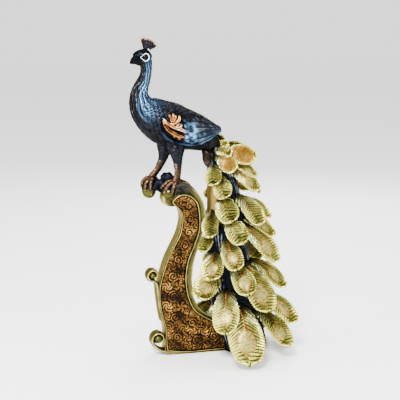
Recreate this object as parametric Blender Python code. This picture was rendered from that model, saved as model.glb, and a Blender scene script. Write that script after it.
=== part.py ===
# Cast resin peacock on a scroll stand, modelled as the one solid it is cast as.
# Blender 4.5: blender --background --python part.py
#
# The figure is drawn in three groups. Each has its own driving height, and its free
# forms are points in millimetres of the group as it was drawn, which the functions
# stand_point, bird_point and train_point scale to the real size. X runs along the
# bird from beak to train, Y across it, and Z up from the floor.

import math

import bmesh
import bpy
from mathutils import Matrix, Vector

# Driving dimensions, in metres
STAND_HEIGHT = 0.200  # floor to the top of the scroll
STAND_THICKNESS = 0.020  # the scroll slab, over its two beads
PANEL_DEPTH = 0.0022  # how far the carved panel lies below the bead
BEAD_WIDTH = 0.0018  # bead round the panel
COVE_DEPTH = 0.0020  # hollow between the bead and the outer edge
TENDRIL_WIDTH = 0.0034  # carved tendrils on the panel
TENDRIL_RISE = 0.0016
BIRD_HEIGHT = 0.161  # top of the stand to the tip of the crest
LEG_RADIUS = 0.0035  # shank, at its thinnest
TOE_RADIUS = 0.0019
CURL_THICKNESS = 0.0016  # half the thickness of the ribbon in the two curls
TRAIN_SPREAD = 0.088  # train axis to the tip of its foremost feather
TRAIN_CORE = 0.031  # radius of the solid core of the train at the floor
FEATHER_THICKNESS = 0.0030  # over the rib
FEATHER_FACING = 0.5  # how far each feather turns to its own side of the figure
FAR_DROP = 0.30  # the far feathers hang lower and closer, so the near outline stays clear
FAR_TUCK = 0.86
FAR_INNER_TUCK = 0.55
BODY_SIDES = 14
TUBE_SIDES = 6
STAND_SIDES = 46
KEPT_SHARE = 0.56  # share of the faces kept when slivers along the joins are merged

# The three groups as drawn, in millimetres
DRAWN_STAND_HEIGHT = 200.0
DRAWN_BIRD_HEIGHT = 161.0
DRAWN_PERCH_X = -30.0
DRAWN_RUMP = (14.0, 240.0)
DRAWN_SPREAD = 88.0
DRAWN_CORE = 31.0

# Middle of the finished figure's box in the drawing, which becomes the origin
MIDDLE = (0.0139, 0.0)


def stand_point(x, z, y=0.0):
    """A point of the stand: x and z as drawn, y in metres."""
    scale = STAND_HEIGHT / DRAWN_STAND_HEIGHT
    return Vector((x * scale - MIDDLE[0], y - MIDDLE[1], z * scale))


def bird_scale():
    return BIRD_HEIGHT / DRAWN_BIRD_HEIGHT


def bird_point(x, z, y=0.0):
    """A point of the bird, which stands on the top of the stand."""
    perch = stand_point(DRAWN_PERCH_X, DRAWN_STAND_HEIGHT)
    scale = bird_scale()
    return perch + Vector(((x - DRAWN_PERCH_X) * scale, y * scale, (z - DRAWN_STAND_HEIGHT) * scale))


def train_axis(z):
    """Middle of the train at a drawn height, as drawn x."""
    return between(z, ((0, 47.0), (80, 43.0), (160, 40.0), (200, 35.0), (222, 24.0), (236, 10.0)))


def train_point(angle, share, z, spread_x=None, spread_y=None):
    """A point at an angle round the train's axis, at a share of its spread there."""
    rump = bird_point(*DRAWN_RUMP)
    wide = TRAIN_SPREAD / DRAWN_SPREAD
    spread_x = spread_x or envelope_x(z)
    spread_y = spread_y or envelope_y(z)
    turn = math.radians(angle)
    return Vector((
        rump.x + (train_axis(z) - DRAWN_RUMP[0]) * wide + wide * spread_x * share * math.cos(turn),
        rump.y + wide * spread_y * share * math.sin(turn),
        z * rump.z / DRAWN_RUMP[1],
    ))


def envelope_x(z):
    """Reach of the feather tips along the bird, at a drawn height."""
    return between(z, ((0, 60), (40, 58), (80, 52), (120, 44), (160, 36), (200, 28), (240, 16)))


def envelope_y(z):
    """Reach of the feather tips across the bird, at a drawn height."""
    return between(z, ((0, 84), (40, 74), (80, 62), (120, 50), (160, 38), (200, 28), (240, 16)))


def between(value, table):
    """Straight-line reading of a short table of pairs."""
    for (a, fa), (b, fb) in zip(table, table[1:]):
        if value <= b:
            return fa + (fb - fa) * max(0.0, (value - a) / (b - a))
    return table[-1][1]


def curve_through(points, count, closed=False):
    """Even samples of a smooth curve through points of any dimension."""
    n = len(points)
    spans = n if closed else n - 1
    samples = []
    for k in range(count):
        t = k * spans / (count if closed else count - 1)
        i = min(int(t), spans - 1)
        u = t - i

        def at(j):
            return points[j % n] if closed else points[max(0, min(n - 1, j))]

        a, b, c, d = at(i - 1), at(i), at(i + 1), at(i + 2)
        samples.append(tuple(
            0.5 * (2 * q + (r - p) * u + (2 * p - 5 * q + 4 * r - s) * u * u
                   + (3 * q - p - 3 * r + s) * u ** 3)
            for p, q, r, s in zip(a, b, c, d)
        ))
    return samples


PIECES = []


def loft(name, rings):
    """A closed solid through rings of as many points each."""
    bm = bmesh.new()
    loops = [[bm.verts.new(point) for point in ring] for ring in rings]
    for near, far in zip(loops, loops[1:]):
        for i in range(len(near)):
            j = (i + 1) % len(near)
            bm.faces.new((near[i], near[j], far[j], far[i]))
    bm.faces.new(list(reversed(loops[0])))
    bm.faces.new(loops[-1])
    return piece(name, bm)


def piece(name, bm):
    """One closed body of flat triangles, kept for the union that makes the casting."""
    bmesh.ops.recalc_face_normals(bm, faces=bm.faces)
    bm.normal_update()
    bmesh.ops.triangulate(bm, faces=bm.faces)
    mesh = bpy.data.meshes.new(name)
    bm.to_mesh(mesh)
    bm.free()
    obj = bpy.data.objects.new(name, mesh)
    PIECES.append(obj)
    return obj


def ellipsoid(name, centre, radii, turn=0.0, sides=10, rings=7):
    """A sphere stretched to three radii and turned about Y, in degrees."""
    bm = bmesh.new()
    matrix = (
        Matrix.Translation(centre)
        @ Matrix.Rotation(math.radians(turn), 4, "Y")
        @ Matrix.Diagonal((*radii, 1.0))
    )
    bmesh.ops.create_uvsphere(bm, u_segments=sides, v_segments=rings, radius=1.0, matrix=matrix)
    return piece(name, bm)


def frame_along(points, i, side):
    """Direction of a path at point i and two unit vectors across it, the first near to side."""
    ahead = (points[min(i + 1, len(points) - 1)] - points[max(i - 1, 0)]).normalized()
    across = (side - ahead * side.dot(ahead)).normalized()
    return ahead, across, ahead.cross(across)


def tube(name, path, side=Vector((0, 1, 0)), sides=TUBE_SIDES):
    """A tube along (point, radius across, radius in plane) rows."""
    points = [row[0] for row in path]
    rings = []
    for i, (point, across, inside) in enumerate(path):
        _, first, second = frame_along(points, i, side)
        rings.append([
            point
            + first * across * math.cos(2 * math.pi * k / sides)
            + second * inside * math.sin(2 * math.pi * k / sides)
            for k in range(sides)
        ])
    return loft(name, rings)


# Stand: outer edge x, z and the panel's edge x, z at the same place, as drawn
SCROLL = (
    (-44, 1, -40, 6.5), (-20, 0, -20, 3.6), (10, 0, 8, 3.6), (42, 0, 36, 4.2), (61, 4, 52, 8),
    (57, 17, 50, 14), (38, 29, 34, 24), (14, 41, 10, 37), (-2, 52, -8, 49), (-9.5, 68, -16.5, 65),
    (-11, 88, -20, 86), (-8.5, 108, -17.5, 108), (-2.5, 128, -10, 127), (3, 145, -4.5, 143),
    (5, 160, -3.8, 158), (2, 176, -6, 173), (-6, 189, -11.5, 180.5), (-16, 198, -18, 183.8),
    (-29, 199, -24, 184), (-40, 193, -29, 181.5), (-45.5, 184, -31.5, 179.6),
    (-43.5, 175.5, -32.8, 177.8), (-37, 172.3, -31.6, 176), (-30, 172.5, -27.5, 172),
    (-25, 166, -22.8, 165), (-23.8, 156, -21.8, 156), (-27, 142, -24, 141), (-33, 129, -30.5, 128.5),
    (-40.5, 114, -38.2, 113.5), (-46.5, 97, -44.3, 96.5), (-50.5, 80, -48.4, 80),
    (-50.8, 64, -48.6, 64.5), (-48, 48, -46, 48.8), (-44, 32, -42, 33), (-43, 16, -41, 17),
)


def stand_ring(rows, reach, y):
    """The stand's outline at a reach from the panel's edge, in metres or as a share."""
    scale = STAND_HEIGHT / DRAWN_STAND_HEIGHT
    ring = []
    for x, z, px, pz in rows:
        out = Vector((x - px, z - pz)) * scale
        step = reach(out.length) / out.length
        at = Vector((px, pz)) + (Vector((x - px, z - pz)) * step)
        ring.append(stand_point(at.x, max(at.y, 0.0), y))
    return ring


def scroll_slab():
    """The S-shaped slab: sunk panel, bead, cove and outer edge, alike on both faces."""
    rows = curve_through([tuple(v * 1.0 for v in row) for row in SCROLL], STAND_SIDES, closed=True)
    rows = [(x, max(z, 0.0), px, pz) for x, z, px, pz in rows]
    half = STAND_THICKNESS / 2
    steps = (
        (lambda out: 0.0 * out, half - PANEL_DEPTH),
        (lambda out: min(0.3 * BEAD_WIDTH, 0.2 * out), half),
        (lambda out: min(BEAD_WIDTH, 0.6 * out), half),
        (lambda out: max(1.3 * BEAD_WIDTH, 0.0) if out > 2 * BEAD_WIDTH else 0.75 * out, half - COVE_DEPTH),
        (lambda out: 0.92 * out, half - 0.8 * COVE_DEPTH),
        (lambda out: out, half - 2.2 * COVE_DEPTH),
    )
    front = [stand_ring(rows, reach, -y) for reach, y in steps]
    back = [stand_ring(rows, reach, y) for reach, y in reversed(steps)]
    loft("scroll slab", front + back)


def volute(name, centre, radius, start, turns, wide, thick, tail=()):
    """A ribbon that rolls up in the plane of the slab, after an optional straight tail."""
    path = [(stand_point(x, z), w, t) for x, z, w, t in tail]
    steps = 9
    for k in range(steps):
        share = k / (steps - 1)
        angle = math.radians(start) + turns * 2 * math.pi * share
        r = radius * (1 - 0.72 * share)
        at = stand_point(centre[0] + r * math.cos(angle), centre[1] + r * math.sin(angle))
        path.append((at, wide * (1 - 0.12 * share), thick))
    tube(name, path, sides=8)
    eye = stand_point(*centre)
    core = 0.42 * radius * STAND_HEIGHT / DRAWN_STAND_HEIGHT
    ellipsoid(name + " eye", eye, (core, wide * 0.92, core))


def volutes():
    """The two curls on the left edge of the stand."""
    half = STAND_THICKNESS / 2
    side = 0.80 * half
    thick = CURL_THICKNESS
    volute("middle curl", (-56.2, 93.2), 5.6, -20, 0.82, side, 0.95 * thick,
           tail=((-47, 50, side, 0.9 * thick), (-49.8, 64, side, thick), (-51.2, 80, side, 1.05 * thick)))
    volute("foot curl", (-51.0, 17.5), 6.6, 215, -0.85, side, thick,
           tail=((-30, 2.4, side, thick), (-42, 4.2, side, 1.1 * thick), (-51, 8.6, side, 1.1 * thick)))


# Panel tendrils: x, z, radius and first angle as drawn, and the way each one turns
TENDRILS = (
    (-14.5, 172, 7.2, 200, 1), (-13.6, 157, 7.2, 20, -1), (-15, 142, 7.6, 180, 1),
    (-20, 127, 8.2, 10, -1), (-28, 111, 9.2, 190, 1), (-33.5, 92, 11.5, 0, -1),
    (-33, 68, 12.5, 180, 1), (-31, 44, 10.5, 340, -1), (-11, 36, 9.5, 120, 1),
    (-29, 20, 10.5, 200, 1), (-5, 16, 9.5, 350, -1), (14, 18, 9.5, 160, 1),
)


def tendrils():
    """Spiral leaves that stand out of both panels, each a sharp-backed ridge."""
    scale = STAND_HEIGHT / DRAWN_STAND_HEIGHT
    floor = STAND_THICKNESS / 2 - PANEL_DEPTH
    sunk = 0.4 * TENDRIL_RISE
    steps = 10
    for face in (-1, 1):
        for n, (x, z, radius, start, way) in enumerate(TENDRILS):
            if face == 1 and n % 2:
                continue
            rings = []
            for k in range(steps):
                share = k / (steps - 1)
                angle = math.radians(start) + way * 2 * math.pi * 1.05 * share
                r = radius * (1 - 0.78 * share)
                out = Vector((math.cos(angle), 0, math.sin(angle)))
                middle = stand_point(x, z) + out * r * scale
                half = TENDRIL_WIDTH / 2 * (0.45 + 0.9 * math.sin(math.pi * (0.12 + 0.8 * share)))
                rise = TENDRIL_RISE * (0.5 + 0.5 * math.sin(math.pi * (0.1 + 0.8 * share)))
                rings.append([
                    middle - out * half + Vector((0, face * (floor - sunk), 0)),
                    middle + out * half + Vector((0, face * (floor - sunk), 0)),
                    middle + Vector((0, face * (floor + rise), 0)),
                ])
            loft(f"tendril {face} {n}", rings)


# Bird: spine x, z and the radii in plane and across, as drawn
BODY = (
    (-62.0, 336, 5.8, 5.0), (-61.4, 330, 6.8, 5.8), (-61.5, 322, 6.2, 5.6), (-63.6, 314, 6.9, 6.2),
    (-67.0, 306, 8.2, 7.4), (-69.3, 297, 10.2, 9.2), (-66.5, 286.5, 14.5, 12.8),
    (-58.0, 277, 19.8, 16.8), (-45.0, 268, 23.6, 19.6), (-30.0, 261.5, 24.4, 20.8),
    (-13.0, 254.5, 20.4, 18.6), (2.0, 247, 14.2, 14.2), (14.0, 241, 9.4, 10.2), (24.0, 236, 5.0, 6.0),
)


def body():
    path = [(bird_point(x, z), bird_size(across), bird_size(inside))
            for x, z, inside, across in BODY]
    tube("body", path, sides=BODY_SIDES)


def bird_size(value):
    return value * bird_scale()


def bird_tube(name, rows, sides=TUBE_SIDES, side=Vector((0, 1, 0))):
    """A tube through (x, z, y, radius) rows of the bird."""
    path = [(bird_point(x, z, y), bird_size(r), bird_size(r)) for x, z, y, r in rows]
    tube(name, path, side=side, sides=sides)


def head():
    """Skull, hooked beak, eyes in their raised rings, and the fan of crest plumes."""
    size = bird_size
    ellipsoid("skull", bird_point(-64.8, 338.8), (size(9.6), size(7.2), size(8.7)), sides=12, rings=8)
    beak = ((-67.0, 336.8, 6.4, 5.0), (-72.5, 336.6, 5.0, 3.9), (-76.4, 335.0, 2.8, 2.2),
            (-78.9, 332.8, 0.7, 0.7))
    tube("beak", [(bird_point(x, z), size(across), size(inside)) for x, z, inside, across in beak],
         sides=8)
    for y in (-1, 1):
        ellipsoid(f"eye {y}", bird_point(-64.0, 339.0, 5.6 * y), (size(3.6), size(2.6), size(3.4)),
                  sides=8, rings=6)
        ring = []
        for k in range(12):
            angle = 2 * math.pi * k / 12
            pull = 1.0 + 0.22 * max(0.0, -math.cos(angle)) ** 3
            ring.append((-64.0 + 4.9 * pull * math.cos(angle), 339.0 + 4.5 * math.sin(angle), 6.3 * y))
        closed_tube(f"eye ring {y}", ring, 0.95)
    tips = ((-66.4, 359.2), (-63.6, 360.4), (-60.2, 360.2), (-56.8, 358.8), (-53.6, 356.4), (-50.6, 352.6))
    for n, (x, z) in enumerate(tips):
        root = (-62.6 + 0.35 * (n - 2.5), 345.0)
        rows = [(root[0] + (x - root[0]) * s, root[1] + (z - root[1]) * s, 0.25 * (-1) ** n, r)
                for s, r in ((0.0, 1.9), (0.4, 1.7), (0.72, 1.8), (0.9, 2.3), (1.0, 0.9))]
        bird_tube(f"crest plume {n}", rows)
    web = ((-62.0, 344.5, 1.7, 2.4), (-61.7, 349.5, 1.8, 3.7), (-60.3, 353.4, 1.9, 5.6),
           (-59.4, 356.6, 1.3, 5.4))
    tube("crest web", [(bird_point(x, z), size(across), size(inside)) for x, z, across, inside in web],
         sides=10)


def closed_tube(name, points, radius):
    """A ring-shaped tube through drawn bird points, in a plane across Y."""
    bm = bmesh.new()
    rings = []
    n = len(points)
    for k in range(n):
        here = bird_point(points[k][0], points[k][1], points[k][2])
        before, after = points[k - 1], points[(k + 1) % n]
        ahead = (bird_point(*after) - bird_point(*before)).normalized()
        across = Vector((0, 1, 0))
        out = ahead.cross(across)
        rings.append([
            bm.verts.new(here + (across * math.cos(a) + out * math.sin(a)) * bird_size(radius))
            for a in (2 * math.pi * j / 5 for j in range(5))
        ])
    for k in range(n):
        near, far = rings[k], rings[(k + 1) % n]
        for j in range(5):
            bm.faces.new((near[j], near[(j + 1) % 5], far[(j + 1) % 5], far[j]))
    return piece(name, bm)


# Wing: x, middle z, reach across and up, and the angles of its lower and upper edge
WING = (
    (-51.5, 267.5, 15.5, 15, -14, 14), (-46, 266, 20.5, 21, -38, 34), (-37, 264, 23.2, 24, -44, 52),
    (-27, 260.5, 24.6, 25.6, -40, 66), (-15, 257, 23.6, 24.6, -38, 74), (-4, 254, 19.6, 22, -29, 78),
    (6, 252, 14.4, 18, -18, 80), (15, 252.5, 9.2, 11.5, -10, 84), (23.5, 254.5, 4.6, 4.0, 0, 80),
)


def wing_point(share, up, side, lift):
    """A point of the wing: share from shoulder to tip, up from its lower to its upper edge."""
    x, z, across, rise, low, high = curve_through(WING, 101)[round(share * 100)]
    angle = math.radians(low + (high - low) * up)
    return bird_point(x, z + (rise + lift) * math.sin(angle), side * (across + lift) * math.cos(angle))


def wing(side):
    """Shell, rolled front edge, long flight feathers and the carved leaf spray."""
    rings = []
    for k in range(9):
        share = k / 8
        outer = [wing_point(share, up, side, 0.6 + 0.9 * math.sin(math.pi * up))
                 for up in (0.0, 0.25, 0.5, 0.75, 1.0)]
        inner = [wing_point(share, up, side, -3.4) for up in (1.0, 0.66, 0.33, 0.0)]
        rings.append(outer + inner)
    loft(f"wing {side}", rings)

    edge = [(0.16, 0.74), (0.10, 0.88), (0.05, 0.70), (0.02, 0.45), (0.06, 0.12), (0.16, 0.02),
            (0.30, 0.0), (0.46, 0.0), (0.60, 0.02)]
    radii = (0.9, 1.3, 1.7, 1.9, 1.9, 1.8, 1.7, 1.4, 0.8)
    path = [(wing_point(share, up, side, 1.2), bird_size(r), bird_size(r))
            for (share, up), r in zip(edge, radii)]
    tube(f"wing roll {side}", path, sides=5)

    for n in range(6):
        up = 0.06 + 0.165 * n
        start, end = 0.40 + 0.02 * n, 0.985 - 0.055 * n
        rows = []
        for s, r in ((0.0, 0.7), (0.35, 1.5), (0.8, 1.6), (1.0, 0.5)):
            share = start + (end - start) * s
            rows.append((wing_point(share, up + 0.05 * s, side, 1.3), bird_size(1.1), bird_size(1.4 * r)))
        tube(f"flight feather {side} {n}", rows, sides=4)

    spray = (((0.10, 0.55), (0.20, 0.30), (0.38, 0.18)), ((0.14, 0.50), (0.28, 0.38), (0.42, 0.40)),
             ((0.14, 0.60), (0.24, 0.62), (0.30, 0.78)))
    for n, stem in enumerate(spray):
        rows = [(wing_point(share, up, side, 1.7), bird_size(r), bird_size(r))
                for (share, up), r in zip(curve_through(stem, 5), (0.8, 1.8, 2.3, 1.7, 0.6))]
        tube(f"wing leaf {side} {n}", rows, sides=5)


# Legs: x, z and radius down the thigh, as drawn; the shank goes on from there
LEGS = (
    ("near", -10.0, ((-31, 247, 10.5), (-29.8, 237, 8.6), (-29, 229, 6.0), (-28.4, 222, 4.4)),
     ((-28.2, 215), (-28.8, 208), (-31.0, 201.5)),
     ((-38.5, 200.8, -8.5, -47.0, 194.5, -7.0), (-37.5, 199.0, -13.0, -44.8, 189.6, -12.4),
      (-33.5, 198.6, -15.0, -36.0, 188.0, -15.2), (-27.5, 199.2, -7.0, -23.8, 198.0, -4.5))),
    ("far", 10.0, ((-38, 247, 9.6), (-38.6, 238, 7.8), (-39.4, 230, 5.6), (-41.6, 222.5, 4.2)),
     ((-45.4, 215), (-49.6, 209.4), (-53.6, 204.0)),
     ((-61.5, 202.0, 7.5, -65.8, 195.0, 6.5), (-60.5, 200.0, 12.0, -63.5, 191.0, 12.5),
      (-55.5, 199.6, 5.5, -56.2, 190.6, 2.5), (-49.5, 202.8, 12.5, -46.0, 198.5, 13.5))),
)


def legs():
    """Thigh, shank and four toes a side, which grip the perch."""
    for name, y, thigh, shank, toes in LEGS:
        rows = [(bird_point(x, z, y * (1 if i else 0.75)), bird_size(r), bird_size(r))
                for i, (x, z, r) in enumerate(thigh)]
        rows += [(bird_point(x, z, y), LEG_RADIUS * k, LEG_RADIUS * k)
                 for (x, z), k in zip(shank, (1.0, 1.0, 1.2))]
        tube(f"{name} leg", rows, sides=8)
        ankle = shank[-1]
        for n, (mx, mz, my, tx, tz, ty) in enumerate(toes):
            points = [(ankle[0] + 0.3, ankle[1] + 1.4, y), (mx, mz, my), (tx, tz, ty)]
            rows = [(bird_point(px, pz, py), TOE_RADIUS * k, TOE_RADIUS * k)
                    for (px, pz, py), k in zip(curve_through(points, 5), (1.15, 1.1, 0.95, 1.0, 0.45))]
            tube(f"{name} toe {n}", rows, sides=5)


def perch():
    """The dark knobs that the feet grip: a rock behind, and a branch with a round end."""
    size = bird_size
    ellipsoid("rock", bird_point(-37.5, 198.5, 4.5), (size(9.5), size(8.5), size(12.2)), turn=12)
    ellipsoid("near knob", bird_point(-37.8, 190.5, -5.0), (size(8.6), size(8.0), size(8.8)), turn=-20)
    ellipsoid("crown", bird_point(-22.5, 193.5, 0.0), (size(10.5), size(8.4), size(8.2)), turn=14)
    tube("branch", [(bird_point(x, z, y), size(r), size(r)) for x, z, y, r in (
        (-36, 194, 5, 8.0), (-43, 195, 7, 8.2), (-50, 195, 9.0, 8.2), (-54, 193.5, 10, 8.0))], sides=8)
    ellipsoid("branch end", bird_point(-57.0, 190.4, 10.0), (size(8.6), size(8.0), size(10.6)))


# Core: height, inner and outer side and reach across, as drawn
CORE = (
    (0, 26, 79, 27), (6, 25, 80, 28), (40, 18, 71, 26), (80, 11, 62, 24), (120, 9, 56, 21),
    (160, 8.5, 51, 18), (192, 8.5, 45, 14.5), (212, 8.5, 37, 11.5), (226, 9, 29, 9.5), (240, 11, 21, 7.0),
)


def core_point(angle, share, z):
    """A point at an angle round the core, at a share of its radius there."""
    inner, outer, across = (between(z, [(row[0], row[k]) for row in CORE]) for k in (1, 2, 3))
    turn = math.radians(angle)
    wide = TRAIN_CORE / DRAWN_CORE
    point = train_point(0, 0, z)
    point.x += ((inner + outer) / 2 - train_axis(z)) * TRAIN_SPREAD / DRAWN_SPREAD
    point.x += (outer - inner) / 2 * share * math.cos(turn) * wide
    point.y += across * share * math.sin(turn) * wide
    return point


def train_core():
    """The solid core that carries the feathers down to the floor."""
    loft("train core", [
        [core_point(360 * k / BODY_SIDES, 1.0, row[0]) for k in range(BODY_SIDES)] for row in CORE
    ])


# Near feathers: root angle and height, tip angle and height, tip reach and width, as drawn
FEATHERS = (
    (150, 236, -14, 241, 1.4, 10), (-150, 233, -40, 231, 1.25, 13),
    (-125, 229, -8, 225, 2.1, 22), (-112, 231, -80, 212, 1.0, 18),
    (-145, 221, -142, 196, 1.0, 20), (-112, 208, -119, 182, 1.0, 20),
    (-121, 186, -110, 156, 1.02, 24), (-160, 172, -148, 137, 1.0, 20),
    (-165, 142, -165, 119, 1.0, 18), (-150, 122, -142, 90, 0.98, 27),
    (-131, 98, -161, 68, 1.0, 28), (-118, 80, -124, 34, 1.0, 28),
    (-94, 62, -102, 3.4, 1.05, 38), (-25, 52, -44, 12, 1.0, 28),
    (-24, 72, -28, 36, 1.12, 27), (-48, 108, -74, 57, 1.0, 32),
    (-21, 110, -23, 75, 1.03, 22), (-85, 106, -94, 77, 1.0, 24),
    (-111, 136, -106, 104, 1.0, 22), (-106, 160, -93, 133, 1.0, 22),
    (-54, 152, -26, 106, 1.0, 26), (-19, 158, -17, 134, 1.08, 18),
    (-45, 186, -54, 151, 1.0, 22), (-17, 182, -16, 155, 1.1, 16),
    (-51, 214, -27, 188, 1.02, 18), (-14, 218, -11, 203, 1.16, 16),
)
# The far side repeats these, and this row stands on the line between the two sides
BACK_FEATHERS = (
    (0, 230, 0, 214, 1.3, 13), (0, 210, 0, 182, 1.05, 16), (0, 176, 0, 144, 1.0, 19),
    (0, 138, 0, 106, 1.0, 22), (0, 104, 0, 68, 1.0, 25), (0, 68, 0, 34, 1.0, 28), (0, 40, 0, 6, 1.0, 30),
)
# Share of the length, share of the width, rise of the blade and rise of its edges
FEATHER_STATIONS = ((0.0, 0.44, 0.0, -0.26), (0.30, 0.78, 0.13, -0.20), (0.58, 1.0, 0.13, -0.09),
                    (0.80, 0.95, 0.07, 0.03), (0.94, 0.66, 0.015, 0.08), (1.0, 0.28, 0.0, 0.08))


def feather(name, root_angle, root_z, tip_angle, tip_z, reach, width, side):
    """A spoon-shaped feather: a ribbed blade that arches out and turns up at the tip."""
    root = core_point(root_angle, 0.7, root_z)
    tip = train_point(tip_angle, reach, tip_z)
    axis = train_point(0, 0, (root_z + tip_z) / 2)
    if side > 0:
        root.y, tip.y = -root.y, -tip.y
    along = tip - root
    length = along.length
    along.normalize()
    out = (root + tip) / 2 - axis
    out += Vector((0.0, FEATHER_FACING * side, 0.3)) * out.length
    out = (out - along * out.dot(along)).normalized()
    across = along.cross(out)
    half = width * TRAIN_SPREAD / DRAWN_SPREAD / 2
    rings = []
    for share, wide, rise, curl in FEATHER_STATIONS:
        middle = root + along * length * share + out * length * rise
        ring = []
        for u, under in ((-1.0, 0), (-0.4, 0), (0.4, 0), (1.0, 0), (0.55, 1), (-0.55, 1)):
            lift = half * curl * u * u - FEATHER_THICKNESS * under
            ring.append(middle + across * half * wide * u + out * lift)
        rings.append(ring)
    loft(name, rings)


def feathers():
    for n, (root_angle, root_z, tip_angle, tip_z, reach, width) in enumerate(FEATHERS):
        feather(f"near feather {n}", root_angle, root_z, tip_angle, tip_z, reach, width, -1)
        sink = FAR_DROP * envelope_y(tip_z) * abs(math.sin(math.radians(tip_angle)))
        facing = math.cos(math.radians(tip_angle))
        tuck = FAR_TUCK if facing > 0.5 else FAR_INNER_TUCK if facing < -0.7 else 1.0
        far_tip = max(3.0, tip_z - sink)
        feather(f"far feather {n}", root_angle, max(root_z - sink, far_tip + 16.0), tip_angle, far_tip,
                reach * tuck, width, 1)
    for n, row in enumerate(BACK_FEATHERS):
        feather(f"back feather {n}", *row, 0)


def resin():
    """Dark patinated resin, the ground colour of the whole casting."""
    material = bpy.data.materials.new("painted resin")
    material.use_nodes = True
    shader = material.node_tree.nodes["Principled BSDF"]
    shader.inputs["Base Color"].default_value = (0.30, 0.26, 0.10, 1.0)
    shader.inputs["Metallic"].default_value = 0.6
    shader.inputs["Roughness"].default_value = 0.38
    return material


def cast_figurine():
    """Joins every piece into the one closed solid of the casting."""
    pieces = bpy.data.collections.new("Pieces before casting")
    bpy.context.scene.collection.children.link(pieces)
    cast = bpy.data.collections.new("Peacock figurine")
    bpy.context.scene.collection.children.link(cast)
    first, rest = PIECES[0], PIECES[1:]
    for obj in rest:
        pieces.objects.link(obj)
        obj.hide_render = True
        obj.display_type = "WIRE"
    first.name = "peacock_figurine"
    cast.objects.link(first)
    first.data.materials.append(resin())
    union = first.modifiers.new("Cast as one", "BOOLEAN")
    union.operation = "UNION"
    union.solver = "EXACT"
    union.operand_type = "COLLECTION"
    union.collection = pieces
    thin = first.modifiers.new("Merge slivers", "DECIMATE")
    thin.decimate_type = "COLLAPSE"
    thin.ratio = KEPT_SHARE
    thin.use_collapse_triangulate = True


def main():
    for obj in list(bpy.data.objects):
        bpy.data.objects.remove(obj)
    scroll_slab()
    volutes()
    tendrils()
    body()
    head()
    for side in (-1, 1):
        wing(side)
    legs()
    perch()
    train_core()
    feathers()
    cast_figurine()


main()
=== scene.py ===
import math
import random

import bmesh
import bpy
import numpy as np
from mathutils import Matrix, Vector


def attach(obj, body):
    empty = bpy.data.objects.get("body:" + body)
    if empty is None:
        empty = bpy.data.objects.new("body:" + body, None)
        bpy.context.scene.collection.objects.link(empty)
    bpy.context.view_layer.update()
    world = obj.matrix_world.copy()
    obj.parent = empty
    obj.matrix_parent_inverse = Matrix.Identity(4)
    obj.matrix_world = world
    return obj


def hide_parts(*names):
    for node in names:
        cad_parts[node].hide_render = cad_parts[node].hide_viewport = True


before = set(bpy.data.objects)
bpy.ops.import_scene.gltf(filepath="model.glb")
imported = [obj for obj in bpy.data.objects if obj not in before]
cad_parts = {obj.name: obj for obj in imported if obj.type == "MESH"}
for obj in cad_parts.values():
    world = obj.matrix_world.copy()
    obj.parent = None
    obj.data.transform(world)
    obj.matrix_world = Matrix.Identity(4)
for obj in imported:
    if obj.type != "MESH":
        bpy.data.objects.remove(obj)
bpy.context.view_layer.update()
print("frame loaded")

middleX = 13.9  # the drawing's x at the middle of the figure; the drawing is in mm
fullTurn = 2 * np.pi


def place(x, y, z):
    # drawn mm to metres in the frame, for arrays too
    return np.stack(np.broadcast_arrays((x - middleX) * 0.001, y * 0.001, z * 0.001), axis=-1)


def spline(points, t):
    # smooth reading of a table of rows at shares t of its length
    p = np.asarray(points, float)
    t = np.clip(np.asarray(t, float), 0, 1) * (len(p) - 1)
    i = np.minimum(t.astype(int), len(p) - 2)
    u = (t - i)[..., None]
    a, b, c, d = (p[np.clip(i + k, 0, len(p) - 1)] for k in (-1, 0, 1, 2))
    return 0.5 * (2 * b + (c - a) * u + (2 * a - 5 * b + 4 * c - d) * u ** 2
                  + (3 * b - a - 3 * c + d) * u ** 3)


def heading(points, t, step=0.004):
    # unit direction along a row of points at shares t
    ahead = spline(points, t + step) - spline(points, t - step)
    return ahead / (np.linalg.norm(ahead, axis=1)[:, None] + 1e-9)


def ease(low, high, value):
    t = np.clip((value - low) / (high - low), 0, 1)
    return t * t * (3 - 2 * t)


def bell(value, width):
    return np.exp(-(value / width) ** 2)


def swell(angle):
    # 0 to 1 and back, once a turn
    return 0.5 + 0.5 * np.sin(angle)


def wave(x, y, z, seed=0.0):
    # cheap smooth unevenness, about -1 to 1
    return (np.sin(x * 1.7 + y * 2.3 + seed) + np.sin(y * 1.9 - z * 1.3 + seed * 2.1)
            + np.sin(z * 2.1 + x * 0.9 + seed * 0.7)) / 3


def closeEnds(v, first, last):
    # rounds a form off over the first and last share of its length
    close = np.ones_like(v)
    for share, reach in ((v, first), (1 - v, last)):
        if reach:
            close *= np.sqrt(np.clip(1 - np.clip(1 - share / reach, 0, 1) ** 2, 0, 1))
    return close


def meshObject(name, bm, material):
    mesh = bpy.data.meshes.new(name)
    bm.to_mesh(mesh)
    bm.free()
    mesh.materials.append(material)
    made = bpy.data.objects.new(name, mesh)
    bpy.context.scene.collection.objects.link(made)
    return made


def finishPiece(name, bm, material, openBlades=False):
    # open blades keep the direction they were made in
    if not openBlades:
        bmesh.ops.recalc_face_normals(bm, faces=bm.faces)
    piece = meshObject(name, bm, material)
    piece.data.polygons.foreach_set("use_smooth", [True] * len(piece.data.polygons))
    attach(piece, "root")
    return piece


def newForm():
    # the attributes come first: adding one later would lose the handles of the corners
    bm = bmesh.new()
    for name in ("relief", "tone", "inner"):
        bm.verts.layers.float.new(name)
    return bm


def setCorners(verts, places, values):
    # moves each corner to its place and writes its attributes, given as (layer, value or array)
    columns = [(layer, np.broadcast_to(value, len(verts))) for layer, value in values]
    for i, vert in enumerate(verts):
        vert.co = places[i]
        for layer, column in columns:
            vert[layer] = column[i]


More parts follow.
